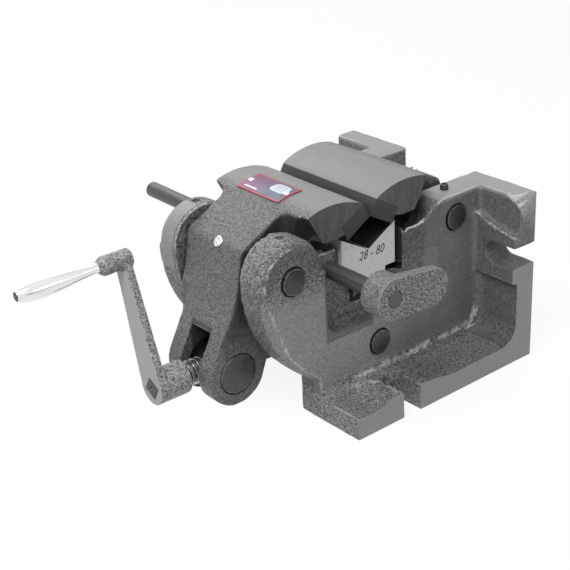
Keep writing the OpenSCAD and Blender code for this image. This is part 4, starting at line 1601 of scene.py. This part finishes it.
@dataclass
class RockerJaw:
    """One rocking jaw with its jaw plate, screws and oiler.

    The fields are sizes in millimetres, for the left jaw.
    """

    side: Side
    head_half: float = 50.0
    waist_half: float = 34.0
    waist_front: float = 26.0
    heel: float = 56.2
    heel_r: float = 6.0
    fork_half: float = 25.0
    slot_half: float = 10.5
    pivot: tuple[float, float] = (76.0, 112.8)
    pivot_r: float = 10.05
    trunnion: tuple[float, float] = (101.3, 40.5)
    trunnion_r: float = 15.05
    slot_top: float = 70.0
    crown: tuple[float, float, float] = (34.8, 89.5, 62.5)
    plate: tuple = ((0.1, 134.0), (20.45, 122.25), (26.7, 133.07), (6.35, 144.82))
    plate_w: float = 23.5
    plate_t: float = 12.5

    @property
    def word(self) -> str:
        """The side's name as the nodes have it."""
        return self.side.name.lower()

    def build(self, nodes: dict[str, Piece], finish: Finishes) -> None:
        """Make the jaw and dress what it carries.

        Args:
            nodes: the CAD nodes.
            finish: the materials.
        """
        body = self.word + "_rocker"
        plate = nodes[self.word + "_jaw_plate"]
        self._casting(nodes[self.word + "_jaw"], plate, body, finish)
        dressed(self.word + "_jaw_plate_ground", plate, body, "plate_steel", finish.plate, 0.4)
        dressed(self.word + "_jaw_plate_screws", nodes[self.word + "_plate_screws"], body, "dark_steel",
                finish.screws, 0.2)
        dressed(self.word + "_oiler_bright", nodes[self.word + "_oiler"], body, "oiler_metal",
                finish.bright, 0.12)

    def _casting(self, node: Piece, plate: Piece, body: str,
                 finish: Finishes) -> None:
        """Make the jaw's cast skin with its machined faces.

        Args:
            node: the CAD jaw.
            plate: the CAD jaw plate, which fills its seat while the skin is made.
            body: the body that the jaw rides on.
            finish: the materials.
        """
        s = self.side.value
        half = self.head_half
        skin = CastSkin(voxel=1.05, passes=2, lump=0.2, lump_size=9.0, stock=3.0,
                        worn_from=0.2, worn_full=0.6)
        tx, tz = s * self.trunnion[0], self.trunnion[1]
        px, pz = s * self.pivot[0], self.pivot[1]
        wide = self.fork_half - self.slot_half
        plugs = [merged_copy(plate), bar_mesh(Axis.Y, (px, -self.waist_half, pz), self.waist_half, 11)]
        plugs += [bar_mesh(Axis.Y, (tx, y, tz), y + wide, 16) for y in (-self.fork_half, self.slot_half)]
        plugs.append(self._screw_plug())
        made = skin.skin(self.word + "_jaw_skin", trimmed(merged_copy(node), [self._waist_tool()]),
                         [(Axis.Y, -half), (Axis.Y, half)], plugs, [finish.jaw, finish.jaw_cut])
        skin.mark(made, self._smooth_share(made), shade=self._shade_share(made))
        carve(made, [box_mesh((-CLEAR, -half, 0), (CLEAR, half, CLEAR))], "INTERSECT", 1)
        carve(made, [self._seat_tool()], "DIFFERENCE", 1)
        reach = half + 10
        carve(made, [bar_mesh(Axis.Y, (px, -reach, pz), reach, self.pivot_r),
                     bar_mesh(Axis.Y, (tx, -reach, tz), reach, self.trunnion_r)], "DIFFERENCE", 1)
        fork = box_mesh((tx - 40, -self.slot_half, 0), (tx + 40, self.slot_half, self.slot_top))
        carve(made, [fork], "DIFFERENCE", 0)
        drop_crumbs(made)
        # Painted shade in the gap round the trunnion.
        skin.hand_over(made, [(Axis.Y, (tx, 0, tz), self.trunnion_r + 0.4)])
        shade(made)
        publish(made, body, "jaw_paint", self.word + "_jaw")

    def _waist_tool(self) -> Mesh:
        """Block that thins the waist's front side up to the heel, with a rounded inner edge.

        Returns:
            The closed mesh.
        """
        s = self.side.value
        low, high = sorted((s * self.heel, s * 150))
        bm = box_mesh((low, -self.head_half - 6, self.slot_top + 2), (high, -self.waist_front, 175))
        line = mm(s * self.heel, -self.waist_front, 0).xy
        inner = [e for e in bm.edges if all((v.co.xy - line).length < WELD for v in e.verts)]
        bmesh.ops.bevel(bm, geom=inner, offset=self.heel_r * MM, offset_type="OFFSET", segments=5,
                        profile=0.5, affect="EDGES", material=-1)
        return bm

    def _screw_plug(self, inset: float = 3.5) -> Mesh:
        """A filling behind the jaw plate that closes the screws' holes.

        Args:
            inset: distance of its ends from the plate's edges.

        Returns:
            The closed mesh.
        """
        s = self.side.value
        (bx, bz), (cx, cz), (dx, dz) = self.plate[1:]
        nx, nz = (cx - bx) / self.plate_t, (cz - bz) / self.plate_t
        ux, uz = (dx - cx) / self.plate_w, (dz - cz) / self.plate_w
        outline = [(s * (cx + ux * inset), cz + uz * inset),
                   (s * (dx - ux * inset), dz - uz * inset),
                   (s * (dx - ux * (inset + 3) + nx * 2), dz - uz * (inset + 3) + nz * 2),
                   (s * (cx + ux * inset + nx * 7), cz + uz * inset + nz * 7)]
        return prism_mesh(outline, -40, 40)

    def _seat_tool(self) -> Mesh:
        """Prism that mills the seat of the jaw plate.

        Returns:
            The closed mesh.
        """
        s = self.side.value
        b, c, d = self.plate[1:]
        low = (c[0] + (b[0] - c[0]) * 1.5, c[1] + (b[1] - c[1]) * 1.5)
        high = (d[0] + (d[0] - c[0]) * 0.3, d[1] + (d[1] - c[1]) * 0.3)
        outline = [(s * c[0], c[1]), (s * low[0], low[1]), (-s * 20, low[1]), (-s * 20, high[1] + 10),
                   (s * high[0], high[1] + 10), (s * high[0], high[1])]
        return prism_mesh(outline, -self.head_half - 10, self.head_half + 10)

    def _smooth_share(self, obj: Piece) -> np.ndarray:
        """Smooth skin: the dressed crown, fading toward the heel.

        Args:
            obj: the uncut jaw.

        Returns:
            A share for each vertex.
        """
        x, _, z = (read_places(obj) / MM).T
        cx, cz, radius = self.crown
        x = x * self.side.value
        away = np.abs(np.hypot(x - cx, z - cz) - radius)
        return ramp(away, 1.6, 0.8) * ramp(x, 56, 42) * 0.92

    def _shade_share(self, obj: Piece) -> np.ndarray:
        """Painted shade: darker on the waist's sides, under the head and in the fork.

        Args:
            obj: the uncut jaw.

        Returns:
            A share for each vertex.
        """
        x, y, z = np.abs(read_places(obj) / MM).T
        cx, cz, radius = self.crown
        sideways = ramp(np.abs(read_normals(obj)[:, 1]), 0.5, 0.8)
        deep = ramp(np.hypot(x - cx, z - cz), radius - 1.0, radius - 2.4)
        under = deep * (z > 84) * (y > self.waist_front - 1.5) * (x > 46) * 1.25
        narrow = y < self.waist_half + 1.5
        waist = narrow & (x < 112)
        fork = waist * (y > self.fork_half - 1.2) * (z < 92) * 0.42
        slot = waist & (y < self.slot_half + 1.0) & (z < self.slot_top + 4)
        flank = sideways * narrow * ramp(z, 58, 70) * (z < 128) * 0.95
        return np.minimum(np.maximum.reduce([under, fork, slot * 1.0, flank]), 1.25)


@dataclass
class LeadScrew:
    """The screw with a right hand thread on its left and a left hand thread on its right.

    The fields are sizes in millimetres.
    """

    height: float = 40.5
    crest_r: float = 9.0
    root_r: float = 6.8
    pitch: float = 4.0
    plain: float = 20.5
    left_end: float = -129.98
    right_end: float = 117.0
    square_end: float = -155.4
    square: float = 10.5
    lean: float = 16.2
    steps: int = 40
    trunnion: tuple[float, float] = (101.3, 15.0)
    hole_r: float = 1.8
    hole_rim: float = 0.9
    hole_depth: float = 1.6

    def build(self, nodes: dict[str, Piece], finish: Finishes) -> None:
        """Make the screw and dress what turns with it.

        Args:
            nodes: the CAD nodes.
            finish: the materials.
        """
        bm = self._thread(self.left_end, -self.plain, 1)
        bar = bar_mesh(Axis.X, (-self.plain - 0.5, 0, self.height), self.plain + 0.5,
                       self.crest_r - 0.02, 72)
        join_into(bm, [self._thread(self.plain, self.right_end, -1)])
        join_into(bm, [bar, self._square_end()], 1)
        made = make_object("lead_screw_threaded", bm, [finish.thread, finish.square])
        shade(made, 28.0)
        publish(made, "screw", "thread_steel", "lead_screw")
        dressed("thrust_collars_steel", nodes["thrust_collars"], "screw", "dark_steel", finish.nut, 0.3)
        dressed("collar_pins_steel", nodes["collar_pins"], "screw", "dark_steel", finish.screws, 0.2)
        dressed("centre_block_steel", nodes["centre_block"], "carriage", "plate_steel", finish.nut, 0.6)
        x, radius = self.trunnion
        for side in Side:
            word = side.name.lower()
            steel = finish.turned(word + "_trunnion_steel", Axis.Y, (side.value * x, 0, self.height),
                                  radius, 0.1)
            dressed(word + "_trunnion_bar", nodes[word + "_trunnion"], word + "_swivel", "dark_steel",
                    steel, 0.3)

    def _thread(self, x0: float, x1: float, hand: int) -> Mesh:
        """One threaded length.

        Args:
            x0: its low end.
            x1: its high end.
            hand: 1 for a right hand thread, -1 for a left hand one.

        Returns:
            The closed mesh.
        """
        bm = bmesh.new()
        teeth = int((x1 - x0) / self.pitch) + 4
        start = x0 - 2 * self.pitch
        shares = ((0.0, self.root_r), (0.3, self.root_r), (0.46, self.crest_r - 0.12),
                  (0.5, self.crest_r), (0.8, self.crest_r), (0.84, self.crest_r - 0.12))
        verts = [bm.verts.new(mm(start + (n + share) * self.pitch, 0, radius))
                 for n in range(teeth) for share, radius in shares]
        edges = [bm.edges.new(pair) for pair in zip(verts, verts[1:])]
        bmesh.ops.spin(bm, geom=verts + edges, cent=(0, 0, 0), axis=(1, 0, 0), angle=math.tau,
                       steps=self.steps, dvec=mm(hand * self.pitch / self.steps, 0, 0))
        bmesh.ops.remove_doubles(bm, verts=bm.verts, dist=1e-5)
        bmesh.ops.translate(bm, verts=bm.verts, vec=mm(0, 0, self.height))
        for x, out in ((x0, -1), (x1, 1)):
            geom = bm.verts[:] + bm.edges[:] + bm.faces[:]
            bmesh.ops.bisect_plane(bm, geom=geom, plane_co=mm(x, 0, 0), plane_no=(out, 0, 0),
                                   clear_outer=True, dist=1e-7)
        rims = [e for e in bm.edges if e.is_boundary]
        bmesh.ops.holes_fill(bm, edges=rims, sides=0)
        bmesh.ops.recalc_face_normals(bm, faces=bm.faces)
        return bm

    def _square_end(self) -> Mesh:
        """The square end for the crank, with its centre hole.

        Returns:
            The closed mesh.
        """
        bm = bmesh.new()
        spin = Matrix.Rotation(math.radians(45 - self.lean), 4, "X")
        length = self.left_end + 2 - self.square_end
        place = Matrix.Translation(mm(self.square_end + length / 2, 0, 0))
        size = Matrix.Diagonal((length * MM, self.square * MM, self.square * MM, 1))
        bmesh.ops.create_cube(bm, size=1.0, matrix=place @ size)
        end = min(bm.faces, key=lambda f: f.calc_center_median().x)
        bmesh.ops.inset_region(bm, faces=[end], thickness=3.4 * MM)
        bmesh.ops.subdivide_edges(bm, edges=end.edges[:], cuts=3, use_grid_fill=False)
        centre = mm(self.square_end, 0, 0)
        for vert in end.verts:
            offset = vert.co - centre
            if offset.length > WELD:
                vert.co = centre + offset.normalized() * self.hole_r * MM
        bmesh.ops.inset_region(bm, faces=[end], thickness=self.hole_rim * MM, depth=-self.hole_depth * MM)
        bmesh.ops.recalc_face_normals(bm, faces=bm.faces)
        turn = Matrix.Translation(mm(0, 0, self.height)) @ spin
        bmesh.ops.transform(bm, matrix=turn, verts=bm.verts)
        return bm


@dataclass
class Crank:
    """The crank arm and its revolving handle. The fields are sizes in millimetres."""

    height: float = 40.5
    lean: float = 16.2
    reach: float = 90.0
    face_x: float = -155.4
    hub_in: float = -130.0
    boss_r: float = 6.7
    boss_end: float = -172.0
    square: float = 11.0
    handle_l: float = 59.0
    handle_r: float = 6.8
    stud: tuple[float, float] = (3.18, 1.66)
    shares: tuple = ((0, 0.54), (0.035, 0.54), (0.045, 0.45), (0.07, 0.45), (0.08, 0.52), (0.2, 0.6),
                     (0.35, 0.74), (0.5, 0.88), (0.6, 0.95), (0.68, 0.99), (0.74, 1), (0.79, 0.98),
                     (0.84, 0.93), (0.89, 0.84), (0.93, 0.74), (0.965, 0.63), (0.985, 0.56), (1, 0.51))

    @property
    def place(self) -> Matrix:
        """The crank's frame: the screw's axis along X, the arm along Z."""
        turn = Matrix.Rotation(-math.radians(self.lean), 4, "X")
        return Matrix.Translation(mm(0, 0, self.height)) @ turn

    def build(self, nodes: dict[str, Piece], finish: Finishes) -> None:
        """Make the arm and the handle.

        Args:
            nodes: the CAD nodes.
            finish: the materials.
        """
        self._arm(nodes["crank_arm"], finish)
        self._handle(finish)
        dressed("handle_stud_steel", nodes["handle_stud"], "screw", "dark_steel", finish.screws, 0.15)

    def _arm(self, node: Piece, finish: Finishes) -> None:
        """Make the arm's cast skin, its ground flat and its square hole.

        Args:
            node: the CAD arm.
            finish: the materials.
        """
        skin = CastSkin(voxel=0.55, passes=3, lump=0.16, lump_size=4.0, worn_from=0.25, worn_full=0.9)
        stud = bar_mesh(Axis.X, (self.boss_end, 0, self.reach), self.boss_end + 13, 3, 32, self.place)
        made = skin.skin("crank_arm_skin", merged_copy(node), [], [self._square_hole(0.4, 0), stud],
                         [finish.crank, finish.crank_cut])
        skin.mark(made)
        low = (self.face_x - 30, -20, -20)
        high = (self.face_x + 0.25, 20, self.reach - self.boss_r - 0.5)
        carve(made, [box_mesh(low, high, self.place)], "DIFFERENCE", 1)
        carve(made, [self._square_hole(0.25, 3)], "DIFFERENCE", 1)
        # Painted shade in the gap round the screw's square end.
        oily = (self.square / 2 + 0.25) * 1.5
        skin.hand_over(made, [(Axis.X, (0, 0, self.height), oily)])
        shade(made)
        publish(made, "screw", "crank_paint", "crank_arm")

    def _square_hole(self, wider: float, longer: float) -> Mesh:
        """The shape of the hub's square hole.

        Args:
            wider: how much half its width is larger than the square's.
            longer: how far it stands out at both ends of the hub.

        Returns:
            The closed mesh.
        """
        half = self.square / 2 + wider
        corner = Matrix.Rotation(math.radians(45), 4, "X")
        return box_mesh((self.face_x - longer, -half, -half), (self.hub_in + longer, half, half),
                        self.place @ corner)

    def _handle(self, finish: Finishes) -> None:
        """Make the polished handle, turned round its own axis.

        Args:
            finish: the materials.
        """
        knots = [(r * self.handle_r, h * self.handle_l) for h, r in self.shares]
        profile = [(0.0, 0.05)] + knots[:5]
        for first, second in zip(knots[4:], knots[5:]):
            for step in range(1, 5):
                share = step / 4
                profile.append((first[0] + (second[0] - first[0]) * share,
                                first[1] + (second[1] - first[1]) * share))
        head_r, head_t = self.stud
        floor = self.handle_l - head_t
        profile += [(head_r, self.handle_l), (head_r, floor), (0.0, floor)]
        spot = Matrix.Translation(mm(self.boss_end - 0.05, 0, self.reach))
        place = self.place @ spot @ Matrix.Rotation(-math.pi / 2, 4, "Y")
        made = make_object("crank_handle_polished", lathe_mesh(profile, place, 72), [finish.chrome])
        shade(made, 26.0)
        publish(made, "handle", "polished", "crank_handle")


@dataclass
class WorkStop:
    """The stop rod and its arm. The fields are sizes in millimetres."""

    rod: tuple[float, float] = (-34.0, 103.5)
    rod_r: float = 6.0
    face_y: float = -110.0
    back_y: float = -92.0
    screw_y: float = -101.0
    hub_r: float = 14.8
    arm_t: float = 8.0

    def build(self, nodes: dict[str, Piece], finish: Finishes) -> None:
        """Make the arm and dress the rod and the screw.

        Args:
            nodes: the CAD nodes.
            finish: the materials.
        """
        x, z = self.rod
        under = z - self.hub_r
        skin = CastSkin(voxel=0.6, passes=3, lump=0.14, lump_size=5.0, worn_from=0.2, worn_full=0.8)
        plugs = [bar_mesh(Axis.Y, (x, self.face_y, z), self.back_y, self.rod_r + 1),
                 bar_mesh(Axis.Z, (x, self.screw_y, under + 0.1), z - self.rod_r, 3.5, 32)]
        thin = trimmed(merged_copy(nodes["stop_arm"]), [self._thinning()])
        made = skin.skin("stop_arm_skin", thin, [], plugs, [finish.stop, finish.stop_cut])
        skin.mark(made)
        front = self.face_y - 5
        face = box_mesh((x - 30, front, z - 40), (x + 80, self.face_y + 0.25, z + 40))
        bore = bar_mesh(Axis.Y, (x, front, z), self.back_y + 5, self.rod_r + 0.08)
        hole = bar_mesh(Axis.Z, (x, self.screw_y, under - 5), z - self.rod_r - 0.3, 3.05, 40)
        for tool, material in ((face, 1), (bore, 1), (hole, 0)):
            carve(made, [tool], "DIFFERENCE", material)
        # Painted shade in the gap round the rod.
        skin.hand_over(made, [(Axis.Y, (x, 0, z), self.rod_r + 0.4)])
        shade(made)
        publish(made, "stop", "base_paint", "stop_arm")
        dressed("stop_rod_blued", nodes["stop_rod"], "rod", "dark_steel", finish.rod, 0.3)
        dressed("stop_arm_set_screw", nodes["stop_arm_screw"], "stop", "dark_steel", finish.screws, 0.15)

    def _thinning(self) -> Mesh:
        """Block behind the arm, hollowed round the hub, that leaves the arm thinner than the hub.

        Returns:
            The closed mesh.
        """
        x, z = self.rod
        block = box_mesh((x, self.face_y + self.arm_t, z - 45), (x + 90, self.back_y + 5, z + 45))
        hub = bar_mesh(Axis.Y, (x, self.face_y, z), self.back_y + 10, self.hub_r + 0.3)
        return trimmed(block, [hub])


@dataclass
class VBlock:
    """The ground V block with its stamped size range. The fields are sizes in millimetres."""

    front_y: float = -48.0
    text: str = "28 - 80"
    narrow: float = 0.84
    lean: float = 0.3
    spread: float = 1.04
    bold: float = 0.006
    digit: float = 9.4
    centre: tuple[float, float] = (2.3, 105.2)
    depth: float = 0.35
    oiled_z: float = 84.0
    broken: float = 0.45

    def build(self, nodes: dict[str, Piece], finish: Finishes) -> None:
        """Make the block and stamp its numerals.

        Args:
            nodes: the CAD nodes.
            finish: the materials.
        """
        bm = merged_copy(nodes["v_block"])
        bmesh.ops.dissolve_limit(bm, angle_limit=FLAT, verts=bm.verts, edges=bm.edges)
        bmesh.ops.bevel(bm, geom=bm.edges[:], offset=self.broken * MM, offset_type="OFFSET", segments=2,
                        profile=0.5, affect="EDGES", material=-1, clamp_overlap=True)
        made = make_object("v_block_ground", bm, [finish.block, finish.ink, finish.vee])
        # Painted shade: the V's slopes take the near-black finish.
        for face in made.data.polygons:
            if face.normal.z > 0.5 and abs(face.normal.x) > 0.3 and face.area > 1e-3:
                face.material_index = 2
        carve(made, [self._numerals()], "DIFFERENCE", 1, "EXACT")
        bm = bmesh.new()
        bm.from_mesh(made.data)
        bmesh.ops.bisect_plane(bm, geom=bm.verts[:] + bm.edges[:] + bm.faces[:], dist=WELD,
                               plane_co=mm(0, 0, self.oiled_z), plane_no=(0, 0, 1))
        # Painted shade: faces below this height, down in the seat, take the near-black finish.
        for face in bm.faces:
            face.smooth = False
            if face.calc_center_median().z < self.oiled_z * MM:
                face.material_index = 2
        bm.to_mesh(made.data)
        bm.free()
        publish(made, "block", "ground_steel", "v_block")

    def _numerals(self) -> Mesh:
        """Closed solids of the numerals, set into the front face.

        Returns:
            The closed meshes in one.
        """
        curve = bpy.data.curves.new("numerals", "FONT")
        curve.body = self.text
        curve.size = self.digit * MM
        curve.shear = self.lean
        curve.offset = self.bold * self.digit * MM
        curve.space_character = self.spread
        curve.align_x = "CENTER"
        curve.align_y = "CENTER"
        curve.extrude = self.depth * MM
        curve.resolution_u = 4
        letters = bpy.data.objects.new("numerals", curve)
        bpy.context.scene.collection.objects.link(letters)
        graph = bpy.context.evaluated_depsgraph_get()
        mesh = bpy.data.meshes.new_from_object(letters.evaluated_get(graph))
        bm = bmesh.new()
        bm.from_mesh(mesh)
        bpy.data.objects.remove(letters)
        bpy.data.meshes.remove(mesh)
        bmesh.ops.remove_doubles(bm, verts=bm.verts, dist=WELD)
        place = Matrix.Translation(mm(self.centre[0], self.front_y, self.centre[1]))
        upright = Matrix.Rotation(math.pi / 2, 4, "X") @ Matrix.Diagonal((self.narrow, 1, 1, 1))
        bmesh.ops.transform(bm, matrix=place @ upright, verts=bm.verts)
        return bm


@dataclass
class Nameplate:
    """The bent nameplate and its rivets. The fields are sizes in millimetres and degrees."""

    crown: tuple[float, float, float] = (-34.8, 89.5, 62.5)
    start: float = 107.0
    end: float = 87.0
    middle_y: float = 5.8
    length: float = 45.0
    thick: float = 0.8
    lift: float = 0.55
    wave: float = 0.06

    def build(self, nodes: dict[str, Piece], finish: Finishes) -> None:
        """Make the plate with a slight lift at its corners, and dress the rivets.

        Args:
            nodes: the CAD nodes.
            finish: the materials.
        """
        bm = bmesh.new()
        bmesh.ops.create_grid(bm, x_segments=24, y_segments=40, size=0.5)
        layer = bm.loops.layers.uv.new("plate")
        for face in bm.faces:
            for loop in face.loops:
                loop[layer].uv = (loop.vert.co.x + 0.5, loop.vert.co.y + 0.5)
        for vert in bm.verts:
            vert.co = self._on_crown(vert.co.x + 0.5, vert.co.y + 0.5)
        bmesh.ops.recalc_face_normals(bm, faces=bm.faces)
        if sum(face.normal.z for face in bm.faces) < 0:
            bmesh.ops.reverse_faces(bm, faces=bm.faces)
        top = bm.faces[:]
        low = bmesh.ops.extrude_face_region(bm, geom=top)["geom"]
        verts = [v for v in low if isinstance(v, bmesh.types.BMVert)]
        for vert in verts:
            inward = mm(self.crown[0], vert.co.y / MM, self.crown[1]) - vert.co
            vert.co += inward.normalized() * (self.thick - 0.1) * MM
        bmesh.ops.recalc_face_normals(bm, faces=bm.faces)
        made = make_object("nameplate_printed", bm, [finish.print])
        shade(made, 40.0)
        publish(made, "left_rocker", "name_enamel", "nameplate")
        dressed("nameplate_rivet_domes", nodes["nameplate_rivets"], "left_rocker", "rivet_metal",
                finish.bright, 0.1)

    def _on_crown(self, u: float, v: float) -> Vector:
        """Place of a point of the plate's top.

        Args:
            u: its share of the way across the plate.
            v: its share of the way along the plate.

        Returns:
            The place in metres.
        """
        angle = math.radians(self.start + (self.end - self.start) * u)
        near_end = max(0.0, abs(v - 0.5) * 2 - 0.55)
        near_side = max(0.0, abs(u - 0.5) * 2 - 0.2)
        wave = self.wave * math.sin(v * 17 + u * 3)
        radius = self.crown[2] + self.thick + 0.05 + self.lift * near_end ** 2 * near_side + wave
        return mm(self.crown[0] + radius * math.cos(angle), self.middle_y + (v - 0.5) * self.length,
                  self.crown[1] + radius * math.sin(angle))


@dataclass
class Studio:
    """Camera, floor, world, lamps and a dark flag that polished steel mirrors."""

    azimuth: float = -39.21
    elevation: float = 25.72
    roll: float = -2.48
    focal: float = 1296.04
    centre_px: tuple[float, float] = (302.47, 283.44)
    frame_px: float = 570.0
    eye: Point = (-551.4, -649.9, 477.2)
    table_left: float = -118.0
    edge_fade: float = 90.0

    def build(self) -> None:
        """Set the camera, the pale table and the light."""
        self._camera()
        self._floor()
        self._world()
        self._lamp("key", (-800, -350, 1400), 700, 17.0)
        self._lamp("fill", (500, -1500, 600), 900, 1.5)
        self._lamp("back", (200, 1200, 900), 900, 5.0)
        bpy.context.scene.view_settings.view_transform = "Standard"

    def _camera(self) -> None:
        """The camera that the photograph was solved for."""
        a, e, r = (math.radians(v) for v in (self.azimuth, self.elevation, self.roll))
        back = Vector((math.sin(a) * math.cos(e), -math.cos(a) * math.cos(e), math.sin(e)))
        right = Vector((math.cos(a), math.sin(a), 0))
        up = back.cross(right)
        rolled = right * math.cos(r) + up * math.sin(r)
        upright = up * math.cos(r) - right * math.sin(r)
        data = bpy.data.cameras.new("camera")
        data.sensor_width = 36.0
        data.lens = data.sensor_width * self.focal / self.frame_px
        data.shift_x = (self.frame_px / 2 - self.centre_px[0]) / self.frame_px
        data.shift_y = (self.centre_px[1] - self.frame_px / 2) / self.frame_px
        data.clip_start = 0.01
        camera = bpy.data.objects.new("camera", data)
        camera.matrix_world = Matrix.Translation(mm(*self.eye)) @ Matrix((
            (rolled.x, upright.x, back.x, 0), (rolled.y, upright.y, back.y, 0),
            (rolled.z, upright.z, back.z, 0), (0, 0, 0, 1)))
        bpy.context.scene.collection.objects.link(camera)
        bpy.context.scene.camera = camera

    @staticmethod
    def _seen(t: Tree) -> Socket:
        """Tell the rays that see a thing from those that it lights.

        Args:
            t: the tree to build in.

        Returns:
            1 for camera, mirror and glass rays.
        """
        path = t.node("LightPath")
        two = t.math("MAXIMUM", path.outputs["Is Camera Ray"], path.outputs["Is Glossy Ray"])
        return t.math("MAXIMUM", two, path.outputs["Is Transmission Ray"])

    def _floor(self) -> None:
        """A pale table top that ends under the left jaw, so that the crank swings free."""
        bm = bmesh.new()
        bmesh.ops.create_grid(bm, x_segments=1, y_segments=1, size=1.5)
        bmesh.ops.translate(bm, verts=bm.verts, vec=mm(self.table_left + 1500, 0, -0.3))
        material = bpy.data.materials.new("pale_table")
        material.use_nodes = True
        t = Tree(material.node_tree)
        shader = material.node_tree.nodes["Principled BSDF"]
        shader.inputs["Base Color"].default_value = (0.9, 0.9, 0.9, 1)
        shader.inputs["Roughness"].default_value = 0.9
        white = t.node("Emission", {"Color": (1, 1, 1, 1), "Strength": 1.0})
        place = t.node("SeparateXYZ", {0: t.node("TexCoord").outputs["Object"]}).outputs[0]
        near_edge = t.ease(place, (self.table_left + self.edge_fade) * MM, self.table_left * MM)
        share = t.math("MULTIPLY", self._seen(t), t.span(near_edge, 0.9, 1.0))
        mixed = t.node("MixShader", {0: share, 1: shader.outputs[0], 2: white.outputs[0]})
        out = material.node_tree.nodes["Material Output"]
        t.link(mixed.outputs[0], out.inputs["Surface"])
        table = make_object("table_top", bm, [material])
        flag = bmesh.new()
        bmesh.ops.create_grid(flag, x_segments=1, y_segments=1, size=0.5,
                              matrix=Matrix.Translation(mm(300, -1700, 230)) @
                              Matrix.Rotation(math.pi / 2, 4, "X") @ Matrix.Diagonal((1.6, 0.26, 1, 1)))
        dark = bpy.data.materials.new("dark_flag")
        dark.use_nodes = True
        dark.node_tree.nodes["Principled BSDF"].inputs["Base Color"].default_value = (0.01, 0.01, 0.01, 1)
        make_object("studio_flag", flag, [dark])

    def _world(self) -> None:
        """White to the eye, softer as a light."""
        world = bpy.data.worlds.new("studio")
        bpy.context.scene.world = world
        world.use_nodes = True
        t = Tree(world.node_tree)
        light = world.node_tree.nodes["Background"]
        light.inputs["Strength"].default_value = 0.42
        light.inputs["Color"].default_value = (1, 1, 1, 1)
        white = t.node("Background", {"Color": (1, 1, 1, 1), "Strength": 1.0})
        mixed = t.node("MixShader", {0: self._seen(t), 1: light.outputs[0], 2: white.outputs[0]})
        t.link(mixed.outputs[0], world.node_tree.nodes["World Output"].inputs["Surface"])

    @staticmethod
    def _lamp(name: str, place: Point, size: float, power: float) -> None:
        """Hang a square soft lamp that looks at the vise.

        Args:
            name: its name.
            place: where it hangs, in millimetres.
            size: its width in millimetres.
            power: its power in watts.
        """
        data = bpy.data.lights.new(name, "AREA")
        data.size = size * MM
        data.energy = power
        lamp = bpy.data.objects.new(name, data)
        aim = (mm(0, 0, 70) - mm(*place)).to_track_quat("-Z", "Y")
        lamp.matrix_world = Matrix.Translation(mm(*place)) @ aim.to_matrix().to_4x4()
        bpy.context.scene.collection.objects.link(lamp)


def main() -> None:
    """Load the frame, build every piece and set up the studio."""
    logging.basicConfig(level=logging.INFO, format="%(message)s")
    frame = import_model()
    nodes = frame["nodes"]
    finish = Finishes()
    for part in (BaseCasting(), RockerJaw(Side.LEFT), RockerJaw(Side.RIGHT), LeadScrew(), Crank(),
                 WorkStop(), VBlock(), Nameplate()):
        part.build(nodes, finish)
    Studio().build()


if __name__ == "__main__":
    main()
